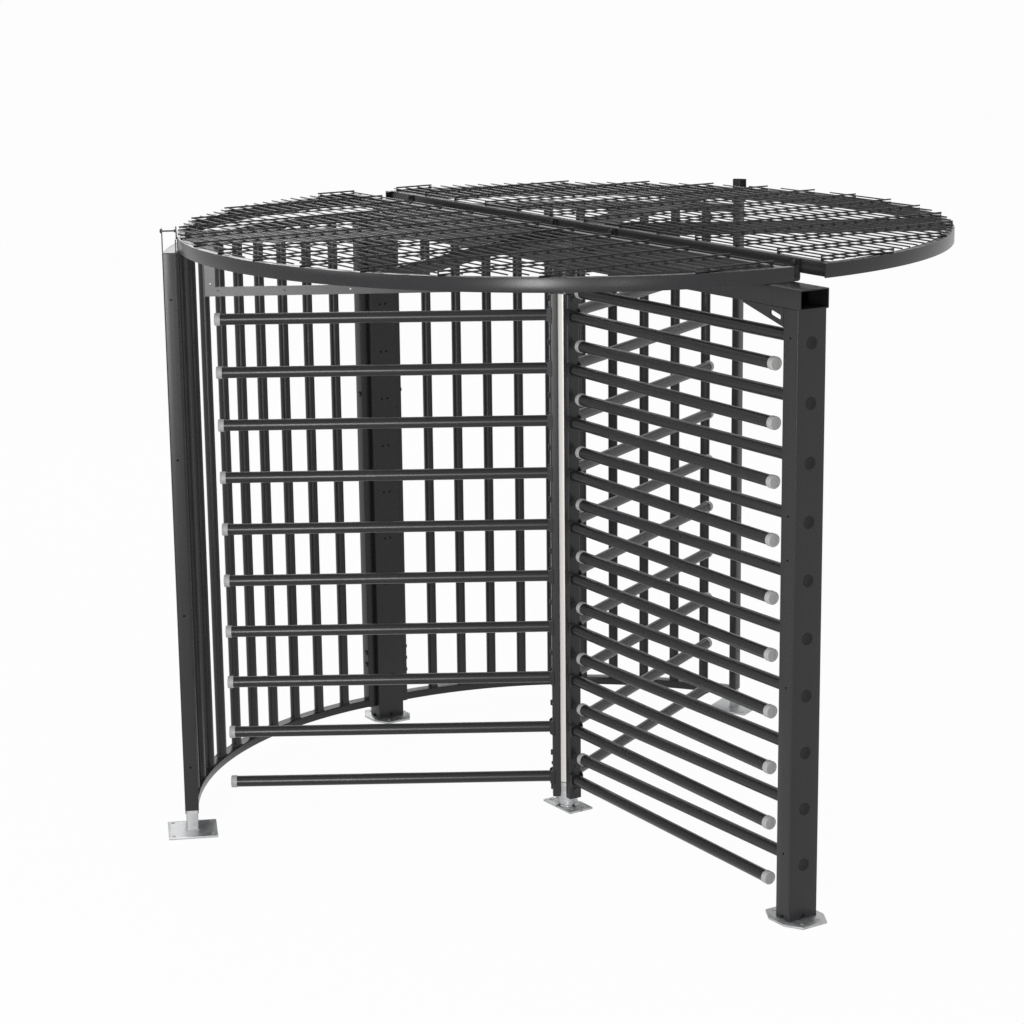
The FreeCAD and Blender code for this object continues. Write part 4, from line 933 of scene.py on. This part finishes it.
# Upper bearing housing: a turned sleeve with a square flange, screwed under the beam.
# The mechanism in the beam is machined steel, with a bronze bush in the rotor's foot.
def turned_metal(name, dark, light, roughness):
    """Metal cut on a lathe or mill: bright, with faint tool marks along its length."""
    made, tree, shader, place = finish(name)
    mark_step = 0.004
    marks = add(
        tree,
        "TexWave",
        {"Vector": place, "Scale": 1 / mark_step, "Distortion": 1.5},
        bands_direction="Z",
    )
    shade = add(
        tree,
        "Mix",
        {0: marks.outputs["Fac"], 6: linear(dark), 7: linear(light)},
        data_type="RGBA",
    )
    tree.links.new(shade.outputs[2], shader.inputs["Base Color"])
    shader.inputs["Metallic"].default_value = 1.0
    shader.inputs["Roughness"].default_value = roughness
    return made


machined = turned_metal("machined_steel", "#a3a5a8", "#b9bbbd", 0.3)
bronze = turned_metal("sintered_bronze", "#8d6a3c", "#a8834e", 0.4)
coil_case = turned_metal("passivated_zinc", "#b3aa8d", "#c8c1a8", 0.38)
dress(machined, "rotor_spindle", "thrust_disc", "top_shaft", "top_bearings", "lock_disc", "pawl_pins")
dress(machined, "entry_pawl", "exit_pawl", "entry_plunger", "exit_plunger")
dress(bronze, "lower_bush")
dress(coil_case, "lock_solenoids")
dress(bolt_coat, "cover_screws", "flange_bolts")

housing_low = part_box("top_bearing_housing")[0].z
housing_top = beam_low.z - 0.0002
housing_radius = 0.045
housing_chamfer = 0.0015
housing_lip = 0.004
bearing_radius = 0.036
flange_half = 0.056
flange_thick = 0.008
housing = lathe(
    [
        (housing_low, shaft_hole + turned_edge),
        (housing_low, housing_radius - housing_chamfer),
        (housing_low + housing_chamfer, housing_radius),
        (housing_top, housing_radius),
        (housing_top, bearing_radius),
        (housing_low + housing_lip, bearing_radius),
        (housing_low + housing_lip, shaft_hole),
        (housing_low + turned_edge, shaft_hole),
    ],
    96,
)
flange = flat_plate(rectangle(flange_half, flange_half), flange_thick)
sleeve = bmesh.new()
set_in(sleeve, housing)
set_in(sleeve, flange, shift(0, 0, beam_low.z - flange_thick))
sleeve = piece("bearing_sleeve", sleeve, black_coat, "frame", "black_steel", "top_bearing_housing")
bore = bmesh.new()
hole(bore, bearing_radius, shift(0, 0, beam_low.z), 96, 4 * flange_thick)
drill(sleeve, bore)


# Column bolts: steel bolts with a coat of black zinc flake, driven through the cages' end
# posts into the rear column. Three stand close together at the foot and one is higher up.
column_bolt_line = -1.389
column_bolt_heights = (0.195, 0.247, 0.299, 1.423)
column_bolts = bmesh.new()
for name, side in cage_side.items():
    low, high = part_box(f"{name}_cage_end_post")
    face, outward = (high.y, TO_Y) if side > 0 else (low.y, FROM_Y)
    for height in column_bolt_heights:
        set_in(column_bolts, bolt(), shift(column_bolt_line, face, height) @ outward)
piece("column_bolt_heads", column_bolts, bolt_coat, "frame", "black_fasteners", "column_bolts")


# Roof: two half rings of rolled 48 by 30 by 6 mm angle, flange inwards, each closed by a
# straight angle beside the beam and stiffened by two flats. Mats of welded wire lie inside
# the rings on the flanges and close the roof.
rim_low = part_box("roof_front_rim")[0].z
rim_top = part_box("roof_front_frame")[1].z
rim_radius = -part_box("roof_front_rim")[0].y
rim_thick = 0.006
rim_flange = 0.030
rim_end = 0.066
rim_edge = 0.0008
chord_face = 0.083
chord_drop = 0.0003
rib_turn = 60
rod_radius = 0.003
rod_step = 0.228
rod_first = -0.018
wire_radius = 0.0025
wire_step = 0.052
mat_reach = rim_radius - rim_thick
mat_start = 0.100
shortest_rod = 0.08


def upright_outline(corners, level=0.0):
    """A flat outline in the plane of X and Z, its corners rounded a little."""
    part = bmesh.new()
    part.faces.new([part.verts.new((x, level, z)) for x, z in corners])
    round_off(part, list(part.verts), rim_edge, 2, "VERTICES")
    return part


def angle_section(drop=0.0):
    """An angle's section: its leg stands on the origin's side, its flange points to -X."""
    top = rim_top - drop
    return upright_outline(
        [
            (0, rim_low),
            (0, top),
            (-rim_flange, top),
            (-rim_flange, top - rim_thick),
            (-rim_thick, top - rim_thick),
            (-rim_thick, rim_low),
        ]
    )


def half_rim(side):
    """Half a ring of angle, spun from its section."""
    part = angle_section()
    bmesh.ops.translate(part, vec=(rim_radius, 0, 0), verts=part.verts)
    start = math.asin(rim_end / rim_radius)
    bmesh.ops.spin(
        part,
        geom=list(part.verts) + list(part.edges) + list(part.faces),
        cent=(0, 0, 0),
        axis=(0, 0, 1),
        angle=math.pi - 2 * start,
        steps=144,
        use_duplicate=False,
    )
    part.transform(Matrix.Rotation(start if side > 0 else math.pi + start, 4, "Z"))
    return part


def rib():
    """A flat from the chord to the rim, notched at both ends for their flanges."""
    lean = math.sin(math.radians(rib_turn))
    near = (chord_face + rim_thick) / lean + 0.002
    notch = (chord_face + rim_flange) / lean + 0.004
    far = rim_radius - rim_thick - 0.0002
    flange_edge = rim_radius - rim_flange - 0.001
    under = rim_top - rim_thick - 0.0002
    corners = [
        (near, rim_low),
        (far, rim_low),
        (far, under),
        (flange_edge, under),
        (flange_edge, rim_top),
        (notch, rim_top),
        (notch, under),
        (near, under),
    ]
    return drawn_out(upright_outline(corners, -rim_thick / 2), (0, rim_thick, 0))


for half, side in (("front", -1), ("rear", 1)):
    rim = bmesh.new()
    set_in(rim, half_rim(side))
    node = f"roof_{half}_rim"
    piece(f"roof_{half}_rolled_rim", rim, black_coat, "frame", "black_steel", node)

    chord_half = math.sqrt((rim_radius - rim_thick) ** 2 - (chord_face + rim_thick) ** 2)
    chord = drawn_out(angle_section(chord_drop), (0, 2 * chord_half, 0))
    toward = shift(0, side * chord_face, 0) @ turn(-90 * side)
    stays = bmesh.new()
    set_in(stays, chord, toward @ shift(0, -chord_half, 0))
    for place in (rib_turn, 180 - rib_turn):
        set_in(stays, rib(), turn(side * place))
    node = f"roof_{half}_frame"
    piece(f"roof_{half}_chord_and_ribs", stays, black_coat, "frame", "black_steel", node)

    mat = bmesh.new()
    outward = TO_Y if side > 0 else FROM_Y
    steps = int(mat_reach / rod_step) + 1
    for number in range(-steps, steps + 1):
        along = rod_first + number * rod_step
        if abs(along) > mat_reach:
            continue
        length = math.sqrt(mat_reach ** 2 - along ** 2) - mat_start
        if length < shortest_rod:
            continue
        for rise in (rod_radius, 3 * rod_radius + 2 * wire_radius):
            start = shift(along, side * mat_start, rim_top + rise)
            set_in(mat, rod(rod_radius, length, 12, 0.0006), start @ outward)
    for number in range(int((mat_reach - mat_start) / wire_step) + 1):
        across = mat_start + wire_radius + number * wire_step
        reach = math.sqrt(mat_reach ** 2 - across ** 2)
        start = shift(-reach, side * across, rim_top + 2 * rod_radius + wire_radius)
        set_in(mat, rod(wire_radius, 2 * reach, 10, 0.0005), start @ TO_X)
    node = f"roof_{half}_mat"
    piece(f"roof_{half}_wire_mat", mat, black_coat, "frame", "black_steel", node)


# Brackets and lugs: strips bent to a cradle on each outer post. A long bolt runs from the
# outer cheek through a lug that is welded to the rim.
bracket_width = 0.042
bracket_wall = 0.004
bracket_bend = 0.007
bracket_low = 2.196
inner_cheek_drop = 0.010
lug_width = 0.030
lug_thick = 0.004
lug_lap = 0.009
lug_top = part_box("roof_post_bolts")[1].z
roof_bolt_high = 2.2764
roof_bolt_radius = 0.0028
pan_radius = 0.008
pan_height = 0.0055
nut_radius = 0.0062
nut_height = 0.005


def pan_head():
    """A round screw head."""
    return lathe(
        [
            (0, 0),
            (0, pan_radius),
            (pan_height * 0.35, pan_radius),
            (pan_height * 0.75, pan_radius * 0.82),
            (pan_height * 0.95, pan_radius * 0.45),
            (pan_height, 0),
        ],
        32,
    )


roof_bolts = bmesh.new()
for name, side in cage_side.items():
    node = f"{name}_roof_bracket"
    spot = shift(0, side * cage_centre, 0) @ turn(180 - side * post_turn[name])
    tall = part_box(node)[1].z - bracket_low
    bent = folded_strip(outer_post_depth, bracket_width, tall, bracket_wall, bracket_bend)
    for point in bent.verts:
        if point.co.x < 0 and point.co.z > tall - 0.001:
            point.co.z = rim_top - inner_cheek_drop - bracket_low
    strip = bmesh.new()
    set_in(strip, bent, spot @ shift(cage_radius, 0, bracket_low))
    strip = piece(f"{name}_bracket_strip", strip, black_coat, "frame", "black_steel", node)
    cheek = cage_radius + outer_post_depth / 2
    bore = bmesh.new()
    hole(bore, roof_bolt_radius + 0.0004, spot @ shift(cheek, 0, roof_bolt_high) @ TO_X, 24)
    drill(strip, bore)

    spread = math.sin(math.radians(post_turn[name]))
    away = math.sqrt(cage_radius ** 2 + cage_centre ** 2 + 2 * cage_radius * cage_centre * spread)
    face = rim_radius - away + cage_radius + 0.0003
    lug_tall = lug_top - rim_top + lug_lap
    lug = bar(lug_thick, lug_width, lug_tall, 0.006, "X")
    set_in(roof_bolts, lug, spot @ shift(face + lug_thick / 2, 0, lug_top - lug_tall / 2))
    shank = rod(roof_bolt_radius, cheek - face + 0.001, 24)
    set_in(roof_bolts, shank, spot @ shift(face, 0, roof_bolt_high) @ TO_X)
    set_in(roof_bolts, pan_head(), spot @ shift(cheek, 0, roof_bolt_high) @ TO_X)
    nut = rod(nut_radius, nut_height, 6, 0.0006)
    set_in(roof_bolts, nut, spot @ shift(face + lug_thick, 0, roof_bolt_high) @ TO_X)
piece("roof_lugs_and_bolts", roof_bolts, bolt_coat, "frame", "black_fasteners", "roof_post_bolts")


# Saddles: strips of 6 mm steel bent up at both ends and powder coated. Each is bolted on
# the beam by its foot and to the two chords by its cheeks, and so clamps the roof down.
saddle_width = 0.046
saddle_thick = 0.006
saddle_bend = 0.010
saddle_places = (-1.243, -0.192, 0.192, 1.243)
saddle_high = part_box("roof_saddles")[1].z
cheek_bolt_drop = 0.012
foot_bolt_side = 0.036
saddles = bmesh.new()
saddle_bolts = bmesh.new()
for along in saddle_places:
    tall = saddle_high - beam_high.z
    strip = folded_strip(2 * chord_face, saddle_width, tall, saddle_thick, saddle_bend)
    set_in(saddles, strip, shift(along, 0, beam_high.z) @ turn(90))
    for side in (-1, 1):
        inward = FROM_Y if side > 0 else TO_Y
        at = shift(along, side * (chord_face - saddle_thick), saddle_high - cheek_bolt_drop)
        set_in(saddle_bolts, bolt(), at @ inward)
        at = shift(along, side * foot_bolt_side, beam_high.z + saddle_thick)
        set_in(saddle_bolts, bolt(), at)
piece("roof_saddle_strips", saddles, black_coat, "frame", "black_steel", "roof_saddles")
piece("saddle_bolt_heads", saddle_bolts, bolt_coat, "frame", "black_fasteners", "saddle_bolts")


# Head guard: a flat bar that keeps heads out of the wings' path, held by the bearing
# housing and by an upright that laps the front rib of the roof. Four small holes stay open.
guard_low = 2.0135
guard_high = 2.048
guard_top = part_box("head_guard")[1].z
guard_root = housing_radius - 0.0005
guard_reach = 1.326
guard_upright = 0.038
guard_thick = 0.006
guard_hole_radius = 0.003
guard_holes = ((0.792, 2.032), (1.035, 2.032), (1.278, 2.034), (1.306, 2.060))
corners = [
    (guard_root, guard_low),
    (guard_reach, guard_low),
    (guard_reach, guard_top),
    (guard_reach - guard_upright, guard_top),
    (guard_reach - guard_upright, guard_high),
    (guard_root, guard_high),
]
under_rib = turn(180 + rib_turn)
flat = drawn_out(upright_outline(corners, rim_thick / 2), (0, guard_thick, 0))
guard = bmesh.new()
set_in(guard, flat, under_rib)
guard = piece("head_guard_flat", guard, black_coat, "frame", "black_steel", "head_guard")
holes = bmesh.new()
for along, height in guard_holes:
    hole(holes, guard_hole_radius, under_rib @ shift(along, rim_thick, height) @ TO_Y)
drill(guard, holes)


# Studio: a plain white floor and room, a weak broad lamp on the left, two narrow upright
# ones beside the camera for the highlights, and one behind that lights the mats' wires.
def seen(tree):
    """One where a ray comes from the camera, or by way of gloss or glass."""
    path = add(tree, "LightPath")
    first = add(
        tree,
        "Math",
        {0: path.outputs["Is Camera Ray"], 1: path.outputs["Is Glossy Ray"]},
        operation="MAXIMUM",
    )
    both = {0: first.outputs[0], 1: path.outputs["Is Transmission Ray"]}
    return add(tree, "Math", both, operation="MAXIMUM").outputs[0]


white = linear("#ffffff")
room = bpy.data.worlds.new("room")
room.use_nodes = True
bpy.context.scene.world = room
tree = room.node_tree
tree.nodes.clear()
soft = add(tree, "Background", {"Color": white, "Strength": 0.4})
plain = add(tree, "Background", {"Color": white, "Strength": 1.0})
mixed = {0: seen(tree), 1: soft.outputs[0], 2: plain.outputs[0]}
both = add(tree, "MixShader", mixed)
add(tree, "OutputWorld", {"Surface": both.outputs[0]})

paper = bpy.data.materials.new("white_floor")
paper.use_nodes = True
tree = paper.node_tree
tree.nodes.clear()
shade = add(tree, "BsdfDiffuse", {"Color": linear("#f2f2f2")})
glow = add(tree, "Emission", {"Color": white, "Strength": 1.0})
share = add(tree, "Math", {0: seen(tree), 1: 0.97}, operation="MULTIPLY")
mixed = {0: share.outputs[0], 1: shade.outputs[0], 2: glow.outputs[0]}
both = add(tree, "MixShader", mixed)
add(tree, "OutputMaterial", {"Surface": both.outputs[0]})
floor = bmesh.new()
bmesh.ops.create_grid(floor, x_segments=1, y_segments=1, size=400.0)
mesh = bpy.data.meshes.new("floor")
floor.to_mesh(mesh)
floor.free()
mesh.materials.append(paper)
ground = bpy.data.objects.new("floor", mesh)
bpy.context.scene.collection.objects.link(ground)

target = Vector((-0.1147, -0.1693, 1.16905))


def lamp(name, place, width, height, power):
    """A soft box at a place, turned to the object."""
    light = bpy.data.lights.new(name, "AREA")
    light.shape = "RECTANGLE"
    light.size = width
    light.size_y = height
    light.energy = power
    made = bpy.data.objects.new(name, light)
    made.location = place
    made.rotation_euler = (target - Vector(place)).to_track_quat("-Z", "Y").to_euler()
    bpy.context.scene.collection.objects.link(made)


lamp("left_soft_box", (-1.0, -8.0, 5.0), 4.0, 4.0, 140)
lamp("camera_strip", (6.9, -6.1, 2.0), 0.5, 3.4, 370)
lamp("right_strip", (8.9, -3.2, 1.8), 0.5, 3.0, 50)
lamp("back_soft_box", (-8.0, 2.5, 5.0), 3.0, 2.0, 80)

camera_place = Vector((7.8745, -5.3352, 3.3894))
camera_roll = -0.639
camera = bpy.data.objects.new("camera", bpy.data.cameras.new("camera"))
camera.data.lens = 90.85
camera.data.sensor_width = 36.0
aim = (target - camera_place).to_track_quat("-Z", "Y")
camera.location = camera_place
camera.rotation_euler = (aim @ Quaternion((0, 0, 1), math.radians(camera_roll))).to_euler()
bpy.context.scene.collection.objects.link(camera)
bpy.context.scene.camera = camera
bpy.context.scene.view_settings.view_transform = "Standard"
